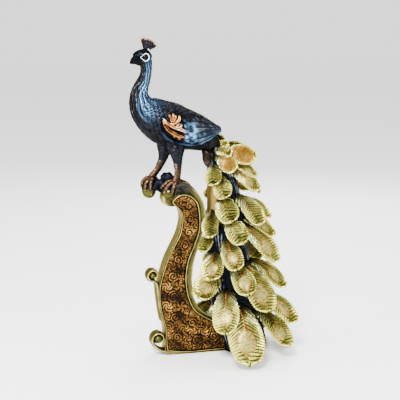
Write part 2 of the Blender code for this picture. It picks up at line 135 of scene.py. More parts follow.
def wrapGrid(bm, across, along, shape):
    # a grid whose u (across) and v (along) are carried to shape(u, v) -> mm and attributes
    new = bmesh.ops.create_grid(bm, x_segments=across, y_segments=along, size=0.5)["verts"]
    uv = np.array([v.co[:2] for v in new]) + 0.5
    where, extra = shape(uv[:, 0], uv[:, 1])
    setCorners(new, place(*where), [(bm.verts.layers.float[k], value) for k, value in extra.items()])
    bmesh.ops.remove_doubles(bm, verts=new, dist=1e-7)


def sweep(bm, rows, around, along, ends, ribs=None, extra=None):
    # a smooth round form along rows of x, y, z, radius across, radius in plane
    def shape(u, v):
        p = spline(rows, v)
        ahead = heading([row[:3] for row in rows], v)
        first = np.array([0.0, 1.0, 0.0]) - ahead * ahead[:, 1:2]
        first /= np.linalg.norm(first, axis=1)[:, None] + 1e-9
        second = np.cross(ahead, first)
        angle = u * fullTurn
        close = closeEnds(v, *ends)
        lift, relief = ribs(u, v) if ribs else (0.0, 0.5)
        q = p[:, :3] + first * ((p[:, 3] + lift) * close * np.cos(angle))[:, None]
        q += second * ((p[:, 4] + lift) * close * np.sin(angle))[:, None]
        return q.T, {"relief": relief, **(extra(u, v, q) if extra else {})}

    wrapGrid(bm, around, along, shape)


class Signal:
    # a shader value whose arithmetic makes math nodes
    def __init__(self, tree, socket):
        self.tree, self.socket = tree, socket

    def calc(self, operation, *others):
        node = self.tree.nodes.new("ShaderNodeMath")
        node.operation = operation
        for socket, value in zip(node.inputs, (self,) + others):
            wire(socket, value)
        return Signal(self.tree, node.outputs[0])

    def __add__(self, other):
        return self.calc("ADD", other)

    def __sub__(self, other):
        return self.calc("SUBTRACT", other)

    def __rsub__(self, other):
        return self.calc("MULTIPLY_ADD", -1.0, other)

    def __mul__(self, other):
        return self.calc("MULTIPLY", other)

    def __truediv__(self, other):
        return self.calc("DIVIDE", other)

    def __pow__(self, other):
        return self.calc("POWER", other)

    def __abs__(self):
        return self.calc("ABSOLUTE")


def wire(socket, value):
    # links a signal or socket, or sets a number or a red, green and blue
    value = value.socket if isinstance(value, Signal) else value
    if isinstance(value, bpy.types.NodeSocket):
        socket.id_data.links.new(value, socket)
    else:
        socket.default_value = (*value, 1) if isinstance(value, tuple) else value


def span(value, low, high, toLow=0.0, toHigh=1.0):
    node = value.tree.nodes.new("ShaderNodeMapRange")
    node.interpolation_type = "SMOOTHSTEP"
    for name, v in (("Value", value), ("From Min", low), ("From Max", high), ("To Min", toLow),
                    ("To Max", toHigh)):
        wire(node.inputs[name], v)
    return Signal(value.tree, node.outputs["Result"])


def blendColor(factor, a, b):
    node = factor.tree.nodes.new("ShaderNodeMix")
    node.data_type = "RGBA"
    for k, value in ((0, factor), (6, a), (7, b)):
        wire(node.inputs[k], value)
    return Signal(factor.tree, node.outputs[2])


def objectPlace(tree):
    return Signal(tree, tree.nodes.new("ShaderNodeTexCoord").outputs["Object"])


def noise(where, scale, detail=3.0):
    node = where.tree.nodes.new("ShaderNodeTexNoise")
    for name, value in (("Vector", where), ("Scale", scale), ("Detail", detail), ("Roughness", 0.55)):
        wire(node.inputs[name], value)
    return Signal(where.tree, node.outputs["Fac"])


def attributes(tree, *names):
    nodes = [tree.nodes.new("ShaderNodeAttribute") for _ in names]
    for node, name in zip(nodes, names):
        node.attribute_name = name
    return [Signal(tree, node.outputs["Fac"]) for node in nodes]


def handPainted():
    # dark paint in the hollows, body colour between, dry-brushed colour on what stands up
    group = bpy.data.node_groups.new("handPainted", "ShaderNodeTree")
    color, value = "NodeSocketColor", "NodeSocketFloat"
    for label, kind, start in (
            ("Hollow", color, (0, 0, 0)), ("Body", color, (0.5, 0.5, 0.5)), ("Raised", color, (1, 1, 1)),
            ("Relief", value, 0.5), ("Patch Scale", value, 120.0), ("Grain Scale", value, 1400.0),
            ("Low", value, 0.3), ("High", value, 0.75), ("Gloss", value, 0.3)):
        wire(group.interface.new_socket(label, in_out="INPUT", socket_type=kind), start)
    for label, kind in (("Color", color), ("Roughness", value), ("Height", value)):
        group.interface.new_socket(label, in_out="OUTPUT", socket_type=kind)
    given = group.nodes.new("NodeGroupInput").outputs
    out = group.nodes.new("NodeGroupOutput").inputs
    where = objectPlace(group)
    patch, grain = noise(where, given["Patch Scale"]), noise(where, given["Grain Scale"], 2.0)
    low, high = (Signal(group, given[name]) for name in ("Low", "High"))
    lift = (grain - 0.5) * 0.35 + ((patch - 0.5) * 0.9 + given["Relief"])
    mixed = blendColor(span(lift, low - 0.2, low + 0.12), given["Hollow"], given["Body"])
    mixed = blendColor(span(lift, high - 0.08, high + 0.2), mixed, given["Raised"])
    for name, made in (("Color", mixed), ("Roughness", patch * 0.25 + given["Gloss"]),
                       ("Height", patch * 0.6 + grain * 0.4)):
        wire(out[name], made)
    return group


painted = handPainted()


def paint(tree, **values):
    node = tree.nodes.new("ShaderNodeGroup")
    node.node_tree = painted
    for label, value in values.items():
        wire(node.inputs[label.replace("_", " ")], value)
    return node.outputs


def newMaterial(name, metallic, edge, coat=0.0):
    # edge is the tint of what is seen at a grazing angle
    material = bpy.data.materials.new(name)
    material.use_nodes = True
    shader = material.node_tree.nodes["Principled BSDF"]
    for label, value in (("Metallic", metallic), ("Specular Tint", edge), ("Coat Weight", coat),
                         ("Coat Roughness", 0.2)):
        wire(shader.inputs[label], value)
    return material, material.node_tree, shader


def surface(shader, color, roughness, height, bump):
    node = shader.id_data.nodes.new("ShaderNodeBump")
    node.inputs["Strength"].default_value = 1.0
    node.inputs["Distance"].default_value = bump
    wire(node.inputs["Height"], height)
    for label, value in (("Base Color", color), ("Roughness", roughness), ("Normal", node.outputs["Normal"])):
        wire(shader.inputs[label], value)


def simplePaint(name, hollow, body, raised, metallic, gloss, low, high, patchScale, bump=0.0003, coat=0.0):
    edge = tuple(0.2 + 0.8 * c for c in raised)
    material, tree, shader = newMaterial(name, metallic, edge, coat)
    relief, = attributes(tree, "relief")
    out = paint(tree, Hollow=hollow, Body=body, Raised=raised, Relief=relief, Patch_Scale=patchScale,
                Low=low, High=high, Gloss=gloss)
    surface(shader, out["Color"], out["Roughness"], out["Height"], bump)
    return material


simplePaints = {
    # colour in the hollows, body colour, colour of what stands up; then metallic, gloss, where the
    # hollows end, where the raised parts begin, patches per metre, bump in metres, clear coat
    "copperPaint": ((0.007, 0.004, 0.002), (0.150, 0.068, 0.012), (0.44, 0.255, 0.068),
                    0.85, 0.22, 0.62, 0.86, 80.0),
    "sprayCopper": ((0.004, 0.002, 0.001), (0.30, 0.105, 0.018), (0.80, 0.50, 0.25),
                    0.75, 0.22, 0.24, 0.58, 420.0),
    "legCopper": ((0.004, 0.003, 0.003), (0.050, 0.026, 0.013), (0.38, 0.235, 0.14),
                  0.8, 0.25, 0.30, 0.76, 330.0),
    "crestCopper": ((0.003, 0.003, 0.005), (0.012, 0.012, 0.019), (0.30, 0.13, 0.045),
                    0.8, 0.3, 0.34, 0.62, 420.0, 0.0008),
    "rockBlack": ((0.002, 0.002, 0.004), (0.005, 0.006, 0.010), (0.06, 0.075, 0.11),
                  0.85, 0.28, 0.4, 0.9, 300.0),
    "tailBrown": ((0.002, 0.002, 0.002), (0.014, 0.009, 0.007), (0.13, 0.085, 0.055),
                  0.85, 0.28, 0.4, 0.8, 420.0, 0.0009),
    "beakBlack": ((0.001, 0.001, 0.001), (0.003, 0.003, 0.003), (0.018, 0.017, 0.017),
                  0.85, 0.32, 0.3, 0.95, 300.0),
    "eyeRingWhite": ((0.30, 0.36, 0.44), (0.62, 0.69, 0.78), (0.84, 0.89, 0.95),
                     0.0, 0.35, 0.2, 0.6, 300.0, 0.0003, 0.3),
}
standLook = {
    "hollow": (0.008, 0.006, 0.001), "gold": (0.055, 0.050, 0.012), "high": (0.40, 0.345, 0.110),
    "side": (0.128, 0.100, 0.029), "topNavy": (0.005, 0.007, 0.012),
}
birdLook = {
    "bellyHollow": (0.001, 0.001, 0.001), "belly": (0.008, 0.007, 0.008), "bellyHigh": (0.110, 0.105, 0.110),
    "blueHollow": (0.001, 0.002, 0.007), "blue": (0.012, 0.021, 0.036), "blueHigh": (0.085, 0.130, 0.190),
    "sky": (0.20, 0.44, 0.72),
}
plumeLook = {
    "hollow": (0.013, 0.0125, 0.003), "gold": (0.128, 0.118, 0.018), "high": (0.74, 0.70, 0.14),
    "rib": (0.30, 0.100, 0.014), "silver": (0.52, 0.55, 0.36), "dark": (0.003, 0.0035, 0.0065),
    # glitter grains in the eyes, sand-coloured and orange, bright and dull
    "eye": (0.47, 0.415, 0.140), "eyeDull": (0.17, 0.138, 0.026),
    "glitter": (0.40, 0.125, 0.008), "glitterDull": (0.110, 0.060, 0.006),
    "core": (0.0035, 0.004, 0.006), "coreHigh": (0.15, 0.17, 0.20), "innerTan": (0.23, 0.150, 0.035),
}


def goldPaint():
    # antique gold, warmer on the outer side face and washed with navy under the feet
    material, tree, shader = newMaterial("antiqueGold", 0.9, (0.60, 0.52, 0.30))
    relief, tone, navy = attributes(tree, "relief", "tone", "inner")
    out = paint(tree, Hollow=standLook["hollow"], Body=blendColor(tone, standLook["gold"], standLook["side"]),
                Raised=standLook["high"], Relief=relief, Low=0.25, High=0.74, Gloss=0.20)
    color = blendColor(navy, out["Color"], standLook["topNavy"])
    surface(shader, color, out["Roughness"], out["Height"], 0.0003)
    return material


def birdPaint():
    # near black below, steel blue dry-brushed over it, and sky blue where "inner" glows
    material, tree, shader = newMaterial("birdBlue", 0.85, (0.16, 0.22, 0.30))
    relief, tone, glow = attributes(tree, "relief", "tone", "inner")
    colors = {label: blendColor(tone, birdLook["belly" + end], birdLook["blue" + end])
              for label, end in (("Hollow", "Hollow"), ("Body", ""), ("Raised", "High"))}
    out = paint(tree, Relief=relief, Patch_Scale=170.0, Low=0.28, High=0.66, Gloss=0.20, **colors)
    brush = noise(objectPlace(tree), 420.0) * 0.8 + (relief - 0.4)
    color = blendColor(glow * span(brush, 0.15, 0.75), out["Color"], birdLook["sky"])
    surface(shader, color, out["Roughness"], out["Height"], 0.0004)
    return material


def eyePaint():
    material, tree, shader = newMaterial("eyeBlack", 0.0, (0.6, 0.6, 0.6))
    speck = span(noise(objectPlace(tree), 700.0), 0.5, 0.8)
    wire(shader.inputs["Base Color"], blendColor(speck, (0.001, 0.001, 0.001), (0.012, 0.007, 0.005)))
    for label in ("Specular IOR Level", "Roughness"):
        shader.inputs[label].default_value = 0.12
    return material


plume = {
    # hairs to a barb, lean of the barbs, glitter grains to a metre
    "hairs": 3, "slant": 1.5, "grains": 950.0,
    # where the eye lies on a blade and its half sizes, as shares
    "eyeAt": 0.705, "eyeWide": 0.54, "eyeLong": 0.165,
}


def plumePaint():
    # a feather read from its own map: x across the blade, y from root to tip
    material, tree, shader = newMaterial("goldPlume", 0.85, (0.68, 0.65, 0.30))
    split = tree.nodes.new("ShaderNodeSeparateXYZ")
    uv = tree.nodes.new("ShaderNodeUVMap")
    uv.uv_map = "bladeMap"
    wire(split.inputs[0], uv.outputs["UV"])
    x, share = (Signal(tree, split.outputs[name]) for name in "XY")
    reach = abs(x * 2.0 - 1.0)
    wide, eyeSize, warm = attributes(tree, "plumeWidth", "eyeSize", "warm")
    # carved reads the blade's relief attribute: the carved barbs, with the painted highlight on the outer
    # edges and one side of the blade and the painted shade towards the root
    barbCount, carved = attributes(tree, "barb", "relief")
    where = objectPlace(tree)
    wander = noise(where, 240.0, 2.0) - 0.5
    # one ridge for each carved barb, with hairs along it
    count = wander * 0.25 + barbCount
    ridge, hair = (abs((count * (math.pi * k)).calc("COSINE")) for k in (1, plume["hairs"]))
    barb = hair * 0.30 + ridge ** 0.6 * 0.70
    # the eye: an oval near the tip with a copper edge
    dx = reach / (eyeSize * plume["eyeWide"])
    dy = (share - plume["eyeAt"]) / (eyeSize * plume["eyeLong"])
    ring = wander * 0.5 + (dx * dx + dy * dy).calc("SQRT")
    eye = span(ring, 0.80, 1.0, 1.0, 0.0)
    plain = 1.0 - eye
    edge = span(ring, 0.80, 0.93) * span(ring, 0.97, 1.12, 1.0, 0.0)
    belowEye = span(eyeSize * plume["eyeLong"] + (share - plume["eyeAt"]), -0.04, 0.08, 1.0, 0.0)
    # only feathers with an eye have a copper rib
    rib = span(reach * wide, 0.45, 0.95, 1.0, 0.0) * belowEye * span(eyeSize, 0.2, 0.8, 0.15, 0.9)
    relief = (barb - 0.6) * plain * 0.42 + carved
    out = paint(tree, Hollow=plumeLook["hollow"], Body=plumeLook["gold"], Raised=plumeLook["high"],
                Relief=relief, Patch_Scale=75.0, Low=0.33, High=0.62, Gloss=0.13)
    # glitter grains in the eye
    cells = tree.nodes.new("ShaderNodeTexVoronoi")
    wire(cells.inputs["Vector"], where)
    wire(cells.inputs["Scale"], plume["grains"])
    spark = tree.nodes.new("ShaderNodeSeparateColor")
    wire(spark.inputs[0], cells.outputs["Color"])
    bright, height = (Signal(tree, spark.outputs[k]) for k in (0, 1))
    grain = blendColor(warm, plumeLook["eye"], plumeLook["glitter"])
    dull = blendColor(warm, plumeLook["eyeDull"], plumeLook["glitterDull"])
    grain = blendColor(span(bright, 0.25, 0.8), dull, grain)
    # a silver bloom near the root; orange glitter lies in streaks, sand-coloured glitter is even
    silver = span(share, 0.16, 0.30) * span(share, 0.62, 0.36) * span(relief, 0.35, 0.80, 0.0, 0.60)
    streak = span(noise(where, 420.0, 2.0), 0.42, 0.56, -0.45, 0.22)
    root = span(wander * 0.35 + share, 0.12, 0.36, 1.0, 0.0)
    color = out["Color"]
    for cover, over in ((silver, plumeLook["silver"]), (eye * (warm * streak + 0.75), grain),
                        (edge * 0.42, plumeLook["rib"]), (rib, plumeLook["rib"]),
                        (root * 0.95, plumeLook["dark"])):
        color = blendColor(cover, color, over)
    surface(shader, color, eye * 0.15 + out["Roughness"], barb * plain + height * eye, 0.0006)
    return material


def corePaint():
    # navy black between the feathers, plain tan gold on the smooth inner side
    material, tree, shader = newMaterial("trainCore", 0.85, (0.08, 0.09, 0.11))
    relief, inner = attributes(tree, "relief", "inner")
    out = paint(tree, Hollow=plumeLook["dark"], Body=plumeLook["core"], Raised=plumeLook["coreHigh"],
                Relief=relief, Patch_Scale=160.0, Low=0.32, High=0.66, Gloss=0.3)
    color = blendColor(inner, out["Color"], plumeLook["innerTan"])
    surface(shader, color, out["Roughness"], out["Height"], 0.0003)
    return material


paints = {name: simplePaint(name, *row) for name, row in simplePaints.items()}
antiqueGold, birdBlue, goldPlume, trainCore = goldPaint(), birdPaint(), plumePaint(), corePaint()
print("materials made")


stand = {
    "thick": 20.0, "panelDepth": 2.2, "bead": 1.8, "cove": 2.0, "grid": (400, 50),
    # outer edge x, z and the panel's edge x, z at the same place
    "outline": (
        (-44, 1, -40, 6.5), (-20, 0, -20, 3.6), (10, 0, 8, 3.6), (42, 0, 36, 4.2), (61, 4, 52, 8),
        (57, 17, 50, 14), (38, 29, 34, 24), (14, 41, 10, 37), (-2, 52, -8, 49), (-9.5, 68, -16.5, 65),
        (-11, 88, -20, 86), (-8.5, 108, -17.5, 108), (-2.5, 128, -10, 127), (3, 145, -4.5, 143),
        (5, 160, -3.8, 158), (2, 176, -6, 173), (-6, 189, -11.5, 180.5), (-16, 198, -18, 183.8),
        (-29, 199, -24, 184), (-40, 193, -29, 181.5), (-45.5, 184, -31.5, 179.6),
        (-43.5, 175.5, -32.8, 177.8), (-37, 172.3, -31.6, 176), (-30, 172.5, -27.5, 172),
        (-25, 166, -22.8, 165), (-23.8, 156, -21.8, 156), (-27, 142, -24, 141), (-33, 129, -30.5, 128.5),
        (-40.5, 114, -38.2, 113.5), (-46.5, 97, -44.3, 96.5), (-50.5, 80, -48.4, 80),
        (-50.8, 64, -48.6, 64.5), (-48, 48, -46, 48.8), (-44, 32, -42, 33), (-43, 16, -41, 17),
        (-44, 1, -40, 6.5)),
}


def wrapClosed(name, material, grid, shape):
    # a wrapped grid whose open ends are closed
    bm = newForm()
    wrapGrid(bm, *grid, shape)
    bmesh.ops.holes_fill(bm, edges=[e for e in bm.edges if e.is_boundary])
    return finishPiece(name, bm, material)


def standSlab():
    half, bead, cove = stand["thick"] / 2, stand["bead"], stand["cove"]
    # share of the way out (of the band, after the bead), y, relief
    profile = ((0.0, half - 2.2, 0.05), (0.25, half - 0.4, 0.5), (0.5, half + 0.15, 1.0),
               (0.8, half - 0.1, 0.9), (1.0, half - cove, 0.1), (1.35, half - cove - 0.2, 0.3),
               (1.7, half - 0.6 * cove, 0.62), (1.86, half - 0.5 * cove, 0.95),
               (1.95, half - 0.9 * cove, 0.85), (2.0, half - 2.0 * cove, 0.5), (2.0, 0.0, 0.55))

    def shape(u, v):
        edge = spline(stand["outline"], u)
        share, away, relief = spline(profile, 1 - abs(v * 2 - 1)).T
        out = edge[:, :2] - edge[:, 2:]
        far = np.linalg.norm(out, axis=1)
        beadWide = np.minimum(bead, 0.55 * far)
        reach = np.where(share < 1, share * beadWide, beadWide + (share - 1) * (far - beadWide))
        x, z = (edge[:, 2:] + out * (np.clip(reach, 0, far) / far)[:, None]).T
        y = np.where(v < 0.5, -1, 1) * away
        navy = ease(183, 194, z + 2.0 * wave(x * 0.4, y * 0.5, z * 0.4))
        return (x, y, np.maximum(z, 0.0)), {
            "relief": relief + 0.12 * wave(x * 0.2, y, z * 0.2), "tone": ease(1.5, 1.95, share),
            "inner": 0.92 * navy}

    return wrapClosed("standSlab", antiqueGold, stand["grid"], shape)


panel = {
    "cell": 0.5, "rise": 1.25, "pitch": 3.1, "size": (106.0, 184.0), "middle": (1.5, 93.5),
    # which way each panel faces, the seed of its small scrolls and their least radius
    "faces": {"front": (-1, 7, 2.7), "back": (1, 11, 3.6)},
    # the large scrolls: x, z, radius, first angle and the way each one turns
    "scrolls": (
        (-14.5, 172, 7.2, 200, 1), (-13.6, 157, 7.2, 20, -1), (-15, 142, 7.6, 180, 1),
        (-20, 127, 8.2, 10, -1), (-28, 111, 9.2, 190, 1), (-33.5, 92, 11.5, 0, -1),
        (-33, 68, 12.5, 180, 1), (-31, 44, 10.5, 340, -1), (-11, 36, 9.5, 120, 1),
        (-29, 20, 10.5, 200, 1), (-5, 16, 9.5, 350, -1), (14, 18, 9.5, 160, 1)),
    "fans": ((-20, 30), (2, 27), (28, 14), (38, 12), (-38, 31), (-24, 56), (-40, 58), (-26, 80), (-41, 80),
             (-36, 104), (-23, 100)),
}


def insidePanel(x, z):
    # distance to the panel's edge for arrays of points, negative outside
    edge = spline(stand["outline"], np.linspace(0, 1, 200))[:-1, 2:]
    gap = np.full(x.shape, 1e9)
    inside = np.zeros(x.shape, bool)
    for (ax, az), (bx, bz) in zip(edge, np.roll(edge, -1, axis=0)):
        dx, dz = bx - ax, bz - az
        t = np.clip(((x - ax) * dx + (z - az) * dz) / (dx * dx + dz * dz + 1e-12), 0, 1)
        gap = np.minimum(gap, np.hypot(x - ax - t * dx, z - az - t * dz))
        inside ^= ((az > z) != (bz > z)) & (x < dx * (z - az) / (dz if abs(dz) > 1e-12 else 1e-12) + ax)
    return np.where(inside, gap, -gap)


def scrollCells(seed, smallest):
    # the large scrolls at half their reach, then smaller ones thrown into what is left
    rng = random.Random(seed)
    cells = [(x, z, radius * 0.62, math.radians(start), way, 0)
             for x, z, radius, start, way in panel["scrolls"]]
    cells += [(x, z, 6.4, rng.uniform(1.2, 1.9), rng.choice((-1, 1)), 1) for x, z in panel["fans"]]
    spots = np.array([(rng.uniform(-50, 54), rng.uniform(3, 184)) for _ in range(9000)])
    room = insidePanel(*spots.T)
    for radius in (5.4, 4.0, smallest):
        for (x, z), clear in zip(spots, room):
            if clear > radius * 0.4 and all((x - c[0]) ** 2 + (z - c[1]) ** 2 > (radius + c[2]) ** 2 * 0.72
                                            for c in cells):
                cells.append((x, z, radius, rng.uniform(0, 6.28), rng.choice((-1, 1)), rng.choice((1, 1, 2))))
    return cells


def arabesque(x, z, cells):
    # height, 0 to 1, of scrolls and leaf fans that fill the panel, with thin grooves between
    best, second = np.full(x.shape, 1e9), np.full(x.shape, 1e9)
    near = np.zeros((5,) + x.shape)
    for cx, cz, radius, *look in cells:
        d = np.hypot(x - cx, z - cz) / radius
        closer = d < best
        second = np.where(closer, best, np.minimum(second, d))
        best = np.where(closer, d, best)
        for layer, value in zip(near, (cx, cz, *look)):
            layer[closer] = value
    dx, dz = x - near[0], z - near[1]
    start, way, kind = near[2:]  # kind 0 is a scroll, 1 a leaf fan and 2 a frond
    far, angle = np.hypot(dx, dz), np.arctan2(dz, dx)
    wound = way * angle + start + fullTurn * far / panel["pitch"]
    curl = 0.5 + 0.5 * np.cos(wound + 0.35 * np.sin(5 * angle))
    notch = abs(np.sin(3.5 * angle - way * 0.62 * far + start)) * np.clip(far, 0.6, 9)
    curl = curl ** 0.85 * np.where(far > 2.4, 0.25 + 0.75 * ease(0.0, 1.2, notch), 1)
    leaf = abs(np.cos(2.5 * angle + start + way * 0.52 * far - 0.03 * far ** 2)) ** 0.8
    leaf *= 0.925 + 0.075 * np.cos(far * 2.3 + start)
    along = dx * np.cos(start) + dz * np.sin(start)
    across = abs(dz * np.cos(start) - dx * np.sin(start))
    frond = abs(np.cos(np.pi * (along - 0.75 * across - 0.05 * across ** 2) / 2.3))
    frond = (frond * (0.35 + 0.65 * ease(0.1, 0.7, across))) ** 0.8
    height = np.where(kind > 1, frond, np.where(kind > 0, leaf, curl))
    return height * (0.08 + 0.92 * ease(0.02, 0.20, second - best))


def carvedPanels():
    floor = stand["thick"] / 2 - stand["panelDepth"]
    squares = [round(side / panel["cell"]) for side in panel["size"]]
    for word, (face, seed, smallest) in panel["faces"].items():
        cells = scrollCells(seed, smallest)
        bm = newForm()
        verts = bmesh.ops.create_grid(bm, x_segments=squares[0], y_segments=squares[1], size=0.5)["verts"]
        x, z = (np.array([v.co[:2] for v in verts]) * panel["size"] + panel["middle"]).T
        clear = insidePanel(x, z)
        height = arabesque(x, z, cells) * ease(-0.2, 1.2, clear)
        worn = 0.86 + 0.30 * wave(x * 0.16, face * 3.0, z * 0.16)
        setCorners(verts, place(x, face * (floor + panel["rise"] * height), np.maximum(z, 2.0)),
                   [(bm.verts.layers.float["relief"], 0.04 + 0.90 * height * worn)])
        outside = [vert for vert, gap in zip(verts, clear) if gap < -1.0]
        bmesh.ops.delete(bm, geom=outside, context="VERTS")
        piece = finishPiece(word + "Panel", bm, paints["copperPaint"])
        print(word, "panel:", len(cells), "scrolls,", len(piece.data.polygons), "faces")


curls = {
    # x, z along each ribbon, and x, z, size of the balls that they are rolled round
    "ribbons": (
        ((-46, 40), (-48, 50), (-49.8, 62), (-51.2, 74), (-52.2, 83), (-55.5, 87.6), (-60.2, 88.6),
         (-62.4, 93.2), (-60.2, 98.2), (-55.2, 99.4), (-51.6, 96.2), (-52.6, 91.8), (-56.6, 91.4),
         (-57.6, 94.6), (-55.4, 95.6)),
        ((-24, 2.4), (-34, 2.6), (-43, 3.6), (-50, 6.8), (-55, 11.2), (-58, 17), (-56.2, 23), (-51, 25.6),
         (-46, 23.4), (-45, 18.4), (-48.6, 15), (-52.4, 17), (-51.4, 20.6), (-49, 20))),
    "rolls": ((-56.9, 93.7, 5.0), (-50.8, 18.9, 6.2)),
    "wide": 8.2, "thick": 2.2, "ballWide": 9.6,
}


def edgeCurls():
    bm = newForm()
    for ribbon in curls["ribbons"]:
        count = len(ribbon)
        rows = [(x, 0, z, curls["wide"] * (1 if k < count - 3 else 0.9),
                 curls["thick"] * (1.1 - 0.35 * k / count)) for k, (x, z) in enumerate(ribbon)]
        sweep(bm, rows, 24, 130, (0.01, 0.02),
              lambda u, v: (0.0, 0.45 + 0.45 * abs(np.cos(u * fullTurn)) ** 3))
    for x, z, size in curls["rolls"]:
        boulder(bm, (x, 0, z), (size, curls["ballWide"], size), 0.0)
    finishPiece("edgeCurls", bm, antiqueGold)


bird = {
    # spine x, z and the radii in plane and across
    "body": (
        (-61.6, 341, 4.0, 3.4), (-61.2, 336, 6.2, 5.2), (-61.2, 330, 6.6, 5.8), (-61.5, 322, 6.2, 5.6),
        (-63.6, 314, 6.9, 6.2), (-67.0, 306, 8.4, 7.4), (-69.0, 297, 10.6, 9.2), (-66.5, 286.5, 14.8, 12.8),
        (-58.0, 277, 20.2, 16.8), (-45.0, 268, 24.2, 19.8), (-30.0, 261.5, 25.0, 21.0),
        (-13.0, 254.5, 20.8, 18.8), (2.0, 247, 14.5, 14.4), (14.0, 241, 9.6, 10.2), (24.0, 236, 4.0, 5.0)),
    "head": (
        (-54.4, 339.6, 0.6, 0.6), (-55.3, 339.6, 3.2, 3.0), (-57.4, 339.4, 6.3, 5.4),
        (-61.0, 339.2, 8.2, 6.8), (-65.2, 339.0, 8.6, 7.0), (-68.9, 338.7, 7.8, 5.9),
        (-71.6, 338.0, 6.4, 4.7), (-73.4, 336.6, 4.8, 3.5)),
    "beak": (
        (-66.5, 335.8, 6.8, 4.6), (-69.5, 336.0, 6.7, 4.7), (-72.3, 335.6, 6.0, 4.0),
        (-75.0, 334.6, 4.5, 2.9), (-77.2, 333.2, 2.7, 1.8), (-78.6, 332.1, 1.3, 0.9),
        (-79.1, 331.5, 0.5, 0.4)),
    # centre and half sizes of an eyeball
    "eye": ((-62.9, 5.1, 338.8), (4.0, 2.6, 3.7)),
}


def spineRows(name):
    return [(x, 0, z, across, inside) for x, z, inside, across in bird[name]]


def plumage(row, turn, count):
    # overlapped scale feathers: row counts down the body, turn goes round it (0 to 1)
    height = np.zeros_like(row)
    done = np.zeros(row.shape, bool)
    for back in (1, 0):
        i = np.floor(row) - back
        b = row - i
        a = np.mod(turn * count + 0.5 * np.mod(i, 2), 1.0) - 0.5
        inside = (b < 1.45 * np.sqrt(np.clip(1 - (1.75 * a) ** 2, 0, 1)) + 0.05) & ~done
        h = 0.15 + 0.85 * np.clip(b / 1.5, 0, 1) ** 1.3
        h *= 1 - 0.30 * np.clip(abs(a) * 2, 0, 1) ** 2
        height = np.where(inside, h - 0.25 * bell(a, 0.045) * (b > 0.35), height)
        done |= inside
    return height


def bodyShape(u, v):
    midX, _, midZ, across, inPlane = spline(spineRows("body"), v).T
    ahead = heading([row[:2] for row in bird["body"]], v)
    angle = u * fullTurn
    up = -np.cos(angle)  # 1 at the back of the neck and along the back, -1 at the throat and belly
    sideways = np.sin(angle)
    stir = wave(midX * 0.35, sideways * 9, midZ * 0.35)
    # small ragged feathers on the body, long streaks down the neck and over the shoulder
    row = np.interp(v, (0, 0.3, 0.5, 0.7, 1.0), (0, 17, 29, 42, 56))
    scale = plumage(row + 0.7 * stir, u + 0.016 * stir, 20.0)
    streak = 0.6 * swell(angle * 15 + 2.4 * np.sin(v * 17 + 4 * sideways) + 1.2 * np.sin(v * 43))
    streak += 0.4 * swell(angle * 31 + 4 * np.sin(v * 37 + 3 * sideways))
    neck = ease(0.60, 0.44, v + 0.10 * up)
    relief = scale * (1 - neck) + streak * neck
    size = np.interp(v, (0, 0.25, 0.42, 0.55, 0.7, 1.0), (0.15, 0.45, 1.1, 1.4, 1.5, 0.9))
    lift = (relief - 0.6) * size * (1 + 0.5 * ease(0.5, 0.9, up))
    close = closeEnds(v, 0.03, 0.04)
    rise = (inPlane + lift) * up * close
    # brown black at the throat and breast, a sky blue band down the side, steel blue behind it
    band = ease(-0.38, 0.05, up + 0.10 * stir) * ease(0.92, 0.40, up)
    dash = swell(v * 150 + 9 * np.sin(angle * 7) + 3 * stir)
    glow = 0.85 * band * ease(0.63, 0.46, v) * ease(0.02, 0.26, v)
    glow *= 0.10 + 0.60 * streak ** 1.5 + 0.30 * dash
    tone = ease(-0.60, -0.12, up + 0.1 * stir) * ease(0.66, 0.46, v)
    patch = bell(v - 0.53, 0.05) * ease(-0.75, -0.4, up) * ease(0.3, -0.1, up)
    dry = 0.12 * bell(v - 0.60, 0.09) * ease(0.3, 0.8, up)
    return (midX - ahead[:, 1] * rise, sideways * (across + lift) * close, midZ + ahead[:, 0] * rise), {
        "relief": relief * (0.58 + 0.10 * neck) + dry + 0.03, "tone": np.clip(tone + 0.8 * patch, 0, 1),
        "inner": np.clip(glow + 0.35 * patch * relief, 0, 1)}


def birdBody():
    bm = newForm()
    wrapGrid(bm, 190, 350, bodyShape)
    finishPiece("birdBody", bm, birdBlue)


def headParts():
    def tones(u, v, q):
        # black forehead, steel blue behind and below the eye
        behind = ease(-69, -62, q[:, 0]) * ease(346, 341, q[:, 2])
        return {"relief": 0.12 + 0.32 * behind + 0.26 * wave(*(q * 1.4).T), "tone": 0.15 + 0.85 * behind,
                "inner": 0.35 * behind * ease(339, 333, q[:, 2])}

    def bite(u, v):
        # the groove between the two halves of the beak, on both sides
        groove = bell(np.mod(u + 0.02, 0.5) - 0.02, 0.012) * ease(0.1, 0.35, v)
        return -0.35 * groove, 0.35 + 0.2 * np.sin(u * fullTurn)

    bm = newForm()
    sweep(bm, spineRows("head"), 48, 60, (0.0, 0.10), extra=tones)
    finishPiece("birdHead", bm, birdBlue)
    bm = newForm()
    sweep(bm, spineRows("beak"), 32, 50, (0.02, 0.05), bite)
    finishPiece("birdBeak", bm, paints["beakBlack"])


